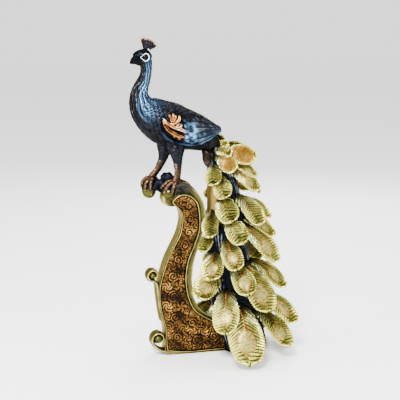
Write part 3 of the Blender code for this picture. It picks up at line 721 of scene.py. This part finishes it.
def eyeParts():
    rings, balls = newForm(), newForm()
    centre, sizes = (np.array(row) for row in bird["eye"])
    for side in (-1, 1):
        def ringPath(t):
            # almond ring, its front corner drawn towards the beak
            a = t * fullTurn
            corner = np.clip(-np.cos(a), 0, 1) ** 3
            x = -62.8 + (3.6 + 1.9 * corner) * np.cos(a)
            z = 338.7 + (4.1 - 2.3 * corner) * np.sin(a) + 0.2 * np.cos(a)
            y = 6.75 - 0.075 * abs(x + 63.0) ** 1.45 - 0.045 * abs(z - 339.3) ** 1.5
            return np.stack([x, side * y, z], axis=1)

        def ring(u, v):
            p = ringPath(v)
            ahead = ringPath(v + 0.01) - p
            ahead /= np.linalg.norm(ahead, axis=1)[:, None]
            across = np.array([0.0, side, 0.0])
            a = u * fullTurn
            high = (0.36 + 0.14 * np.cos(v * fullTurn)) * np.sin(a)
            p = p + across * (0.60 * np.cos(a))[:, None] + np.cross(ahead, across) * high[:, None]
            return p.T, {"relief": 0.6 + 0.3 * np.cos(a)}

        wrapGrid(rings, 12, 72, ring)
        ball = bmesh.ops.create_uvsphere(balls, u_segments=28, v_segments=18, radius=1.0)["verts"]
        for vert in ball:
            vert.co = place(*(centre * (1, side, 1) + sizes * vert.co[:]))
    finishPiece("eyeRings", rings, paints["eyeRingWhite"])
    finishPiece("eyeBalls", balls, eyePaint())


crest = {
    "web": ((-62.2, 0, 343.5, 1.5, 2.0), (-62.0, 0, 347.0, 1.6, 2.5), (-61.2, 0, 350.5, 1.8, 3.6),
            (-59.2, 0, 353.8, 1.9, 5.6), (-57.8, 0, 357.4, 1.5, 6.6)),
    "tips": ((-64.8, 360.8), (-61.8, 359.8), (-58.6, 359.8), (-55.4, 358.6), (-52.4, 356.4), (-50.2, 353.2)),
    # share of the way up and radius along each plume
    "plume": ((0.35, 1.0), (0.6, 1.2), (0.8, 2.0), (0.93, 2.2), (1.0, 1.4)),
}


def crestPlumes():
    # a trumpet-shaped web with ribs, and a lobed tip at the end of each rib
    def webRibs(u, v):
        rib = abs(np.sin(u * fullTurn * 6)) * v
        return 0.30 * rib, 0.16 + 0.40 * rib + 0.40 * ease(0.70, 1.0, v)

    def tipRibs(u, v):
        rib = np.sin(u * fullTurn * 4 + v * 8)
        return 0.20 * rib, 0.26 + 0.62 * ease(0.45, 0.85, v) + 0.2 * rib

    bm = newForm()
    sweep(bm, crest["web"], 60, 44, (0.03, 0.08), webRibs)
    for n, (x, z) in enumerate(crest["tips"]):
        rootX = -62.2 + 0.5 * (n - 2.5)
        for layer in (-1, 1):
            rows = [(rootX + (x - rootX) * s, 0.95 * layer * (0.5 + 0.5 * s),
                     344.0 + (z - 345.2 - 0.4 * layer) * s, r * 0.7, r) for s, r in crest["plume"]]
            sweep(bm, rows, 14, 30, (0.05, 0.14), tipRibs)
    finishPiece("crestPlumes", bm, paints["crestCopper"])


wing = {
    # x, middle z, reach across and up, and the angles of the lower and upper edge
    "rows": (
        (-51.5, 267.5, 15.5, 15, -14, 14), (-46, 266, 20.5, 21, -38, 34), (-37, 264, 23.2, 24, -44, 52),
        (-27, 260.5, 24.6, 25.6, -40, 66), (-15, 257, 23.6, 24.6, -38, 74), (-4, 254, 19.6, 22, -29, 78),
        (6, 252, 14.4, 18, -18, 80), (15, 252.5, 9.2, 11.5, -10, 84), (23.5, 254.5, 4.6, 4.0, 0, 80)),
    # the roll along its edge: share, up and radius
    "roll": (
        (0.150, 0.78, 0.6), (0.165, 0.86, 0.9), (0.140, 0.93, 1.1), (0.095, 0.98, 1.3), (0.055, 0.90, 1.45),
        (0.025, 0.66, 1.5), (0.030, 0.42, 1.6), (0.085, 0.18, 1.7), (0.175, 0.08, 1.6),
        (0.290, 0.045, 1.45), (0.420, 0.035, 1.25), (0.530, 0.04, 0.95), (0.63, 0.06, 0.5)),
}
leafSpray = {
    # radius along a leaf, as shares of its half-width
    "taper": (0.35, 0.65, 0.85, 0.95, 1.0, 1.1, 1.15, 0.9, 0.15),
    # half-width of each leaf, how deep its lobes are cut, its paint, and share and up along it
    "leaves": (
        (1.75, 0.25, 0.62, ((0.110, 0.80), (0.140, 0.66), (0.185, 0.55), (0.240, 0.47), (0.310, 0.415),
                            (0.375, 0.375), (0.425, 0.305))),
        (1.30, 0.1, 0.64, ((0.185, 0.56), (0.240, 0.520), (0.300, 0.545), (0.345, 0.62), (0.345, 0.71))),
        (1.15, 0.4, 0.44, ((0.230, 0.56), (0.225, 0.66), (0.215, 0.75), (0.190, 0.82))),
        (1.20, 0.3, 0.50, ((0.250, 0.57), (0.262, 0.68), (0.265, 0.80))),
        (0.95, 0.3, 0.46, ((0.265, 0.57), (0.290, 0.64), (0.300, 0.73))),
        (1.95, 0.45, 0.30, ((0.105, 0.74), (0.125, 0.58), (0.150, 0.46), (0.195, 0.355), (0.260, 0.285),
                            (0.340, 0.230), (0.410, 0.215))),
        (1.15, 0.2, 0.30, ((0.245, 0.30), (0.270, 0.235), (0.285, 0.175))),
        (1.25, 0.2, 0.30, ((0.300, 0.26), (0.335, 0.19), (0.360, 0.155))),
        (0.85, 0.0, 0.64, ((0.290, 0.43), (0.310, 0.475), (0.340, 0.50), (0.365, 0.47), (0.352, 0.435),
                           (0.330, 0.44)))),
}


def wingPoint(share, up, side, lift):
    x, z, across, high, lower, upper = spline(wing["rows"], share).T
    angle = np.radians(lower + (upper - lower) * up)
    return x, side * (across + lift) * np.cos(angle), z + (high + lift) * np.sin(angle)


def wings():
    for side, word in ((-1, "Near"), (1, "Far")):
        def shell(u, share):
            up = 1 - abs(u * 2 - 1)
            # dark ground in front, scales in the middle, rows of flight feathers behind
            stir = wave(share * 30, up * 12, share * 17)
            back = ease(0.50, 0.60, share + 0.16 * (up - 0.3) + 0.02 * stir)
            front = ease(0.44, 0.36, share) * ease(0.92, 0.80, up)
            small = plumage(share * 18 + 1.5 * up + 0.25 * stir, up * 0.5 + 0.01 * stir, 17.0)
            # flight feathers lie in three tiers and fan from the shoulder towards the tip
            fan = up * (7.0 - 1.4 * share) + 2.0 * share * (up - 0.2) + 0.06 * stir
            vane = np.mod(fan, 1.0)
            tier = np.mod(share * 3.4 + 0.13 * np.floor(fan), 1.0)
            barbs = swell(share * 120 + abs(vane - 0.5) * 26 + stir)
            long = 0.05 + 0.60 * vane ** 0.7 + 0.16 * barbs + 0.20 * (1 - tier)
            long = (long + 0.15 * bell(vane - 0.5, 0.08)) * ease(0.0, 0.14, vane)
            relief = small * (1 - back) * (1 - 0.75 * front) + long * back
            lift = (relief - 0.45) * (1.7 + 1.1 * ease(0.75, 0.95, up)) * ease(0.0, 0.06, share)
            lift = np.where(u <= 0.5, 0.4 + 1.0 * np.sin(np.pi * up) + lift, -3.4)
            patch = np.exp(-(((share - 0.49) / 0.085) ** 4 + ((up - 0.32) / 0.22) ** 4))
            low = ease(0.30, 0.02, up) * ease(0.25, 0.5, share)
            tone = np.clip(patch + 0.55 * low + ease(0.85, 0.3, up) * 0.45 + 0.12 * stir, 0.0, 1)
            return wingPoint(share, up, side, lift), {
                "relief": relief * (0.61 + 0.2 * patch + 0.18 * back) + 0.05 + 0.05 * low - 0.12 * front,
                "tone": tone * (1 - 0.6 * front),
                "inner": np.clip(patch * (0.48 + 0.8 * stir) + 0.10 * low * back, 0, 1)}

        def lay(bm, rows, lift, flat, steps, ribs, extra=None):
            # a round form laid on the wing along rows of share, up and radius
            share, up, r = np.transpose(rows)
            sweep(bm, np.transpose([*wingPoint(share, up, side, lift), r * flat, r]), 18, steps, (0.05, 0.08),
                  ribs, extra)

        bm = newForm()
        wrapGrid(bm, 170, 200, shell)
        lay(bm, wing["roll"], 1.3, 1.0, 130,
            lambda u, v: (0.0, 0.40 + 0.12 * np.sin(v * 31) + 0.12 * np.cos(u * fullTurn)),
            lambda u, v, q: {"tone": 0.62 + 0.25 * v, "inner": 0.16 * ease(0.6, 0.9, v)})
        finishPiece("wing" + word, bm, birdBlue)

        # carved leaf spray: leaves with a rib down the middle and lobes cut into both edges
        bm = newForm()
        for wide, cut, shade, stem in leafSpray["leaves"]:
            def carving(u, v):
                turn = np.sin(u * fullTurn)
                lobes = abs(np.cos(v * 1.7 * len(stem))) ** 3 * np.clip(-turn * side, 0, 1) ** 2
                rib = bell(turn, 0.16) * ease(0.1, 0.3, v) * ease(1.0, 0.8, v)
                return -cut * wide * lobes, shade + 0.10 * np.cos(v * 8) - 0.75 * rib

            taper = np.multiply(leafSpray["taper"], wide)
            path = spline(stem, np.linspace(0, 1, len(taper)))
            lay(bm, np.column_stack([path, taper]), 1.5, 0.62, 20 * len(stem), carving)
        finishPiece("leafSpray" + word, bm, paints["sprayCopper"])


legs = {
    "near": {
        "bone": ((-31, -7.5, 247, 10.5, 11.5), (-29.8, -10, 237, 8.6, 9.2), (-29, -10, 229, 6.0, 6.4),
                 (-28.4, -10, 222, 4.6, 4.8), (-28.2, -10, 215, 3.7, 3.9), (-28.8, -10, 208, 3.6, 3.8),
                 (-30.4, -10, 202.5, 4.2, 4.4), (-31.4, -10, 199.5, 3.6, 3.6)),
        "toes": (((-31.5, -10, 201), (-38.5, -8.5, 201.2), (-43.5, -7.4, 197.6), (-47.2, -7, 193.4)),
                 ((-31.5, -10, 201), (-37.0, -12.6, 199.8), (-41.8, -13, 195.4), (-44.8, -12.4, 189.2)),
                 ((-31.0, -10, 201), (-33.5, -14.6, 198.8), (-35.4, -15.8, 193.6), (-36.4, -15.2, 187.6)),
                 ((-30.0, -9, 201), (-27.0, -7, 200.2), (-24.8, -5.4, 199.2), (-22.6, -4.0, 197.6))),
    },
    "far": {
        "bone": ((-38, 7.5, 247, 9.6, 10.4), (-38.6, 10, 238, 7.8, 8.4), (-39.4, 10, 230, 5.8, 6.2),
                 (-41.6, 10, 222.5, 4.4, 4.6), (-45.4, 10, 215, 3.7, 3.9), (-49.6, 10, 209.4, 3.6, 3.8),
                 (-53.0, 10, 205.2, 4.1, 4.3), (-54.6, 10, 203, 3.4, 3.4)),
        "toes": (((-54, 10, 204.5), (-60.6, 7.5, 203.4), (-65.2, 6.6, 199.4), (-66.4, 6.2, 193.6)),
                 ((-54, 10, 204.5), (-58.6, 4.0, 202.6), (-62.6, 1.6, 197.6), (-63.6, 1.6, 191.0)),
                 ((-54, 10, 204.5), (-55.4, 3.4, 201.8), (-57.2, 0.6, 197.2), (-57.6, 0.8, 190.8)),
                 ((-53, 10, 204), (-49.5, 12.5, 203.0), (-47.2, 13.0, 201.0), (-45.2, 13.5, 198.0))),
    },
    "toeRadii": (2.3, 2.25, 2.0, 1.3),
}


def legParts():
    def feathers(u, v):
        scales = plumage(v * 14 + 0.6 * np.sin(u * 21), u, 11.0)
        return (scales - 0.5) * 1.5 * (1 - 0.6 * v), -0.02 + scales * 0.80

    def shankScales(u, v):
        bands, sides = abs(np.sin(v * 26)), np.cos(u * fullTurn * 3 + 1)
        return 0.14 * bands - 0.05 + 0.25 * sides, 0.30 + 0.20 * bands + 0.30 * sides

    def toeScales(u, v):
        bands, sides = abs(np.sin(v * 15)), np.cos(u * fullTurn * 2)
        return 0.16 * bands + 0.10 * sides, 0.34 + 0.22 * bands + 0.26 * sides

    thighs, shanks = newForm(), newForm()
    for leg in (legs["near"], legs["far"]):
        thigh = np.multiply(leg["bone"][:5], (1, 1, 1, 1.04, 1.04))
        sweep(thighs, thigh, 48, 70, (0.05, 0.04), feathers, lambda u, v, q: {"tone": 0.12})
        sweep(shanks, leg["bone"][3:], 26, 80, (0.03, 0.06), shankScales)
        for toe in leg["toes"]:
            rows = [(*at, r, r) for at, r in zip(toe, legs["toeRadii"])]
            sweep(shanks, rows, 16, 52, (0.04, 0.10), toeScales)
    finishPiece("thighs", thighs, birdBlue)
    finishPiece("shanksAndToes", shanks, paints["legCopper"])


def boulder(bm, centre, radii, rough, turn=0.0):
    new = bmesh.ops.create_uvsphere(bm, u_segments=40, v_segments=26, radius=1.0)["verts"]
    layer = bm.verts.layers.float["relief"]
    cos, sin = math.cos(math.radians(turn)), math.sin(math.radians(turn))
    for vert in new:
        n = vert.co.normalized()
        bump = rough * (wave(*n * 2.6, centre[0]) + 0.5 * wave(*n * 6.1, centre[2]))
        x, y, z = (n[i] * (radii[i] + bump) for i in range(3))
        vert[layer] = 0.5 + 0.4 * bump / max(rough, 0.1)
        vert.co = place(centre[0] + x * cos + z * sin, centre[1] + y, centre[2] - x * sin + z * cos)


perch = {
    # centre, half sizes, roughness and turn of each boulder
    "perchRock": (((-37.5, 4.5, 198.0), (9.0, 8.2, 11.0), 2.6, 12),
                  ((-37.4, -4.5, 191.8), (8.6, 8.2, 7.6), 0.9, -20),
                  ((-22.5, 0.0, 193.2), (10.0, 8.2, 7.6), 2.0, 14),
                  ((-47.0, 7.0, 194.8), (10.5, 7.6, 7.0), 2.0, 4),
                  ((-57.0, 10.0, 193.6), (8.3, 7.8, 8.4), 0.5)),
    "tailLump": (((7.6, -3.4, 226.0), (5.6, 5.8, 11.5), 1.4, -14),),
    "perchKnobs": (((-57.0, 10.0, 188.6), (8.0, 7.8, 8.6), 0.25),
                   ((-38.2, -4.6, 187.4), (8.0, 8.4, 7.4), 0.25, -20)),
}


def perchRocks():
    looks = (paints["rockBlack"], paints["tailBrown"], antiqueGold)
    for (name, rocks), material in zip(perch.items(), looks):
        bm = newForm()
        for rock in rocks:
            boulder(bm, *rock)
        finishPiece(name, bm, material)


train = {
    "reachX": ((0, 60), (40, 58), (80, 52), (120, 44), (160, 36), (200, 28), (240, 16)),
    "reachY": ((0, 84), (40, 74), (80, 62), (120, 50), (160, 38), (200, 28), (240, 16)),
    "axis": ((0, 47.0), (80, 43.0), (160, 40.0), (200, 35.0), (222, 24.0), (236, 10.0)),
    # height, inner and outer side and reach across
    "core": ((0, 26, 79, 27), (6, 25, 80, 28), (40, 18, 71, 26), (80, 11, 62, 24), (120, 9, 56, 21),
             (160, 8.5, 51, 18), (192, 8.5, 45, 14.5), (212, 8.5, 37, 11.5), (226, 9, 29, 9.5),
             (240, 11, 21, 7.0)),
    "facing": 0.5, "farDrop": 0.30, "farTuck": 0.86, "farInnerTuck": 0.55, "thick": 1.6,
    "length": 0.985,  # keeps the tips inside the solid's box
    # share of the length, share of the width, rise of the blade, rise of its edges
    "blade": ((0.0, 0.40, 0.0, -0.30), (0.14, 0.56, 0.07, -0.30), (0.30, 0.76, 0.13, -0.26),
              (0.48, 0.95, 0.15, -0.17), (0.64, 1.04, 0.125, -0.04), (0.78, 1.02, 0.080, 0.08),
              (0.88, 0.88, 0.040, 0.16), (0.94, 0.70, 0.022, 0.20), (0.975, 0.48, 0.020, 0.22),
              (0.993, 0.26, 0.024, 0.22), (1.0, 0.05, 0.026, 0.22)),
    # root angle and height, tip angle and height, tip reach and width
    "near": (
        (150, 236, -14, 241, 1.4, 10), (-150, 233, -40, 231, 1.25, 13), (-125, 229, -8, 225, 2.1, 22),
        (-112, 231, -80, 212, 1.0, 18), (-145, 221, -142, 196, 1.0, 20), (-112, 208, -119, 182, 1.0, 20),
        (-121, 186, -110, 156, 1.02, 24), (-160, 172, -148, 137, 1.0, 20), (-165, 142, -165, 119, 1.0, 18),
        (-150, 122, -142, 90, 0.98, 27), (-131, 98, -161, 68, 1.0, 28), (-118, 80, -124, 34, 1.0, 28),
        (-94, 62, -102, 3.4, 1.05, 38), (-25, 52, -44, 12, 1.0, 28), (-24, 72, -28, 36, 1.12, 27),
        (-48, 108, -74, 57, 1.0, 32), (-21, 110, -23, 75, 1.03, 22), (-85, 106, -94, 77, 1.0, 24),
        (-111, 136, -106, 104, 1.0, 22), (-106, 160, -93, 133, 1.0, 22), (-54, 152, -26, 106, 1.0, 26),
        (-19, 158, -17, 134, 1.08, 18), (-45, 186, -54, 151, 1.0, 22), (-17, 182, -16, 155, 1.1, 16),
        (-51, 214, -27, 188, 1.02, 18), (-14, 218, -11, 203, 1.16, 16)),
    "back": ((0, 230, 0, 214, 1.3, 13), (0, 210, 0, 182, 1.05, 16), (0, 176, 0, 144, 1.0, 19),
             (0, 138, 0, 106, 1.0, 22), (0, 104, 0, 68, 1.0, 25), (0, 68, 0, 34, 1.0, 28),
             (0, 40, 0, 6, 1.0, 30)),
    "warmOnes": (2, 3),  # feathers with orange glitter
    "plainOnes": (0, 1, 4, 5, 6, 7, 8, 19, 22, 40, 41),  # spoons with a long rib and no eye
    "grid": {"near": (24, 0.66), "far": (16, 1.0)},  # squares across a blade, mm along it
}


def readTable(value, name, column=1):
    return np.interp(value, *np.transpose(train[name])[[0, column]])


def coreSides(z):
    # middle and half depth of the core at a height, and its reach across
    inner, outer, across = (readTable(z, "core", k) for k in (1, 2, 3))
    return (inner + outer) / 2, (outer - inner) / 2, across


def trainPoint(angle, share, z, core=False):
    # a point at a share of the way out, on the core or on the sweep of the tips
    turn = math.radians(angle)
    middle, deep, across = coreSides(z) if core else (readTable(z, k) for k in ("axis", "reachX", "reachY"))
    return Vector((middle + deep * share * math.cos(turn), across * share * math.sin(turn), z))


def feather(bm, n, row, side, layers):
    rootAngle, rootZ, tipAngle, tipZ, reach, width = row
    root, tip = trainPoint(rootAngle, 0.7, rootZ, core=True), trainPoint(tipAngle, reach, tipZ)
    if side > 0:
        root.y, tip.y = -root.y, -tip.y
    along = tip - root
    length = along.length
    along.normalize()
    out = (root + tip) / 2 - trainPoint(0, 0, (rootZ + tipZ) / 2)
    out += Vector((0.0, train["facing"] * side, 0.3)) * out.length
    out = (out - along * out.dot(along)).normalized()
    across = along.cross(out)
    half = width / 2
    seed = n * 1.37 + side
    warm = n in train["warmOnes"]
    columns, pitch = train["grid"]["near" if side < 0 else "far"]
    count = max(24, int(length / pitch))
    new = bmesh.ops.create_grid(bm, x_segments=columns, y_segments=count, size=0.5)["verts"]
    grid = np.array([v.co[:2] for v in new])
    u, t = np.sign(grid[:, 0]) * abs(grid[:, 0] * 2) ** 1.12, grid[:, 1] + 0.5
    far = abs(u)
    # the rows of the grid run with the barbs, which lean towards the tip
    lean = min(0.45, plume["slant"] * half / length) * (0.75 * far + 0.25 * far ** 2)
    share = t + lean * (1 - t) * np.minimum(1, 4 * t)
    blade = spline(train["blade"], np.linspace(0, 1, 200)).T
    wide, rise, curl = (np.interp(share, blade[0], line) for line in blade[1:])
    eyeSize = 1.65 if warm else 0.06 if n in train["plainOnes"] else 1.0
    eyeWide, eyeLong = plume["eyeWide"] * eyeSize, plume["eyeLong"] * eyeSize
    ribEnd = plume["eyeAt"] - eyeLong
    eye = np.hypot(far / eyeWide, (share - plume["eyeAt"]) / eyeLong)
    plain = np.clip((eye - 0.88) / 0.25, 0, 1)
    # softly lobed edge, a raised rim, a rib down the middle and barbs carved to both sides of it
    count = t * length / (2.2 + 0.06 * width) + 0.45 * ease(-0.1, 0.1, u) + 0.12 * np.sin(t * 13 + seed)
    carved = abs(np.cos(np.pi * count)) ** 0.7 * plain * np.minimum(1, far * 4)
    tipward = ease(0.82, 0.94, share)
    carved = carved * (1 - 0.55 * tipward) + 0.4 * tipward * plain
    lobe = 1 + 0.09 * (carved - 0.6) * far ** 4 + 0.025 * np.sin(share * 8 + seed * 3 + 2 * u)
    rim = 0.7 * ease(0.74, 0.96, far) * ease(0.3, 0.6, share) + 0.6 * ease(0.90, 0.98, share)
    rib = 0.9 * bell(u * half * wide, 0.8) * ease(ribEnd + 0.08, ribEnd - 0.04, share)
    well = -0.55 * bell(eye - 1.0, 0.11) + 0.7 * np.clip(1 - eye * eye, 0, 1)
    sway = 0.05 * width * np.sin(share * 5 + seed * 2) * (1 - far) * ease(0, 0.2, share)
    lift = half * curl * u * u + rim + rib + well + sway + (carved - 0.6 * plain) * (0.35 + 0.020 * width)
    ways = ((along, length * train["length"] * share), (out, length * rise + lift),
            (across, half * wide * u * lobe))
    p = [root[k] + sum(way[k] * amount for way, amount in ways) for k in range(3)]
    # colour drive for the paint: the carved barbs, the rim and the eye read lighter; the blade's outer edges
    # and one side of each blade (the other side on the far twins) are painted lighter, a painted highlight
    # for the light on the cupped blade; the blade is painted darker towards the root, a painted shade where
    # it tucks under the others
    relief = 0.14 + 0.26 * carved + 0.20 * rim + 0.28 * (1 - plain) + 0.22 * ease(0.25, 0.95, far) * plain
    relief += 0.07 * math.sin(seed * 5) + 0.20 * np.clip(u if side < 0 else -u, -0.4, 1)
    values = {"u": u / 2 + 0.5, "v": share, "barb": count, "plumeWidth": half * wide, "eyeSize": eyeSize,
              "relief": relief - 0.15 * np.clip(0.45 - share, 0, 1),
              "warm": 1.0 if warm else 0.10 + 0.10 * math.sin(seed * 7)}
    setCorners(new, place(*p), [(layers[k], value) for k, value in values.items()])


def farFeather(rootAngle, rootZ, tipAngle, tipZ, reach, width):
    # the twin of a near feather on the far side, which hangs lower and is tucked in
    turn = math.radians(tipAngle)
    sink = train["farDrop"] * readTable(tipZ, "reachY") * abs(math.sin(turn))
    out = math.cos(turn)
    tuck = train["farTuck"] if out > 0.5 else train["farInnerTuck"] if out < -0.7 else 1.0
    tipZ = max(3.0, tipZ - sink)
    return rootAngle, max(rootZ - sink, tipZ + 16.0), tipAngle, tipZ, reach * tuck, width


def trainFeathers():
    near = [(n, row, -1) for n, row in enumerate(train["near"])]
    far = [(n, farFeather(*row), 1) for n, row, _ in near]
    far += [(40 + n, row, 0) for n, row in enumerate(train["back"])]
    for word, jobs in (("Near", near), ("Far", far)):
        bm = bmesh.new()
        layers = {k: bm.verts.layers.float.new(k)
                  for k in ("u", "v", "barb", "relief", "plumeWidth", "eyeSize", "warm")}
        bladeMap = bm.loops.layers.uv.new("bladeMap")
        for job in jobs:
            feather(bm, *job, layers)
        for face in bm.faces:
            for loop in face.loops:
                loop[bladeMap].uv = (loop.vert[layers["u"]], loop.vert[layers["v"]])
        piece = finishPiece("train" + word, bm, goldPlume, openBlades=True)
        body = piece.modifiers.new("Body", "SOLIDIFY")
        body.thickness = train["thick"] * 0.001
        body.offset = -1
        print("train", word, len(piece.data.polygons))


def trainCoreForm():
    def shape(u, v):
        z = v * train["core"][-1][0]
        middle, deep, across = coreSides(z)
        a = u * fullTurn
        sway = 1.5 * np.sin(v * 9) + 0.7 * np.sin(v * 31 + 5 * u) + 0.5 * wave(u * 40, v * 30, u * 17)
        strands = abs(np.sin(a * 20 + sway)) * (0.65 + 0.35 * np.sin(u * 31 + v * 23))
        facing = ease(0.30, 0.45, -np.cos(a)) * ease(150, 158, z) * ease(216, 208, z)
        lift = (strands - 0.5) * 2.2 * (1 - facing)
        return (middle + (deep + lift) * np.cos(a), (across + lift) * np.sin(a), z), {
            "relief": 0.10 + 0.78 * strands, "inner": facing}

    wrapClosed("trainCore", trainCore, (200, 120), shape)


view = {
    "azimuth": -15, "elevation": 10, "distance": 1.26, "height": 0.177, "lens": 100, "sensor": 36,
    # place, size and power of each lamp, and the place that they face
    "lamps": {"key": ((-0.50, -1.00, 1.10), 0.34, 62), "fill": ((1.0, -0.7, 0.5), 0.6, 8),
              "top": ((0.15, 0.25, 1.3), 0.5, 16), "back": ((0.5, 1.0, 0.7), 0.5, 10),
              "strip": ((-1.1, -0.1, 0.45), 0.4, 9)},
    "lampsFace": (0, 0, 0.17), "skyStrength": 1.75,
    "floorReach": 6.0, "floorZ": -0.0003, "floorShade": (0.96, 0.96, 0.96),
}


def aim(name, data, at, back):
    # an object that looks along the opposite of back
    made = bpy.data.objects.new(name, data)
    made.location = at
    made.rotation_euler = back.to_track_quat("Z", "Y").to_euler()
    bpy.context.scene.collection.objects.link(made)
    return made


def cameraAndLight():
    az, el = math.radians(view["azimuth"]), math.radians(view["elevation"])
    back = Vector((math.sin(az) * math.cos(el), -math.cos(az) * math.cos(el), math.sin(el)))
    lens = bpy.data.cameras.new("camera")
    lens.lens, lens.sensor_width = view["lens"], view["sensor"]
    target = Vector((-middleX * 0.001, 0, view["height"]))
    bpy.context.scene.camera = aim("camera", lens, target + back * view["distance"], back)
    for name, (at, size, power) in view["lamps"].items():
        lamp = bpy.data.lights.new(name, "AREA")
        lamp.energy, lamp.size = power, size
        aim(name, lamp, at, Vector(at) - Vector(view["lampsFace"]))
    world = bpy.data.worlds.new("studio")
    world.use_nodes = True
    sky = world.node_tree.nodes["Background"].inputs
    wire(sky["Color"], (1, 1, 1))
    wire(sky["Strength"], view["skyStrength"])
    bpy.context.scene.world = world

    bm = bmesh.new()
    bmesh.ops.create_grid(bm, x_segments=1, y_segments=1, size=view["floorReach"])
    material = bpy.data.materials.new("paleFloor")
    material.use_nodes = True
    shade = material.node_tree.nodes["Principled BSDF"].inputs
    wire(shade["Base Color"], view["floorShade"])
    wire(shade["Roughness"], 0.8)
    floor = meshObject("floor", bm, material)
    floor.location.z = view["floorZ"]


cameraAndLight()
slab = standSlab()
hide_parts("peacock_figurine")
carvedPanels()
edgeCurls()
print("stand made")
for make in (birdBody, headParts, eyeParts, crestPlumes, wings, legParts, perchRocks):
    make()
print("bird made")
trainCoreForm()
trainFeathers()
print("train made")
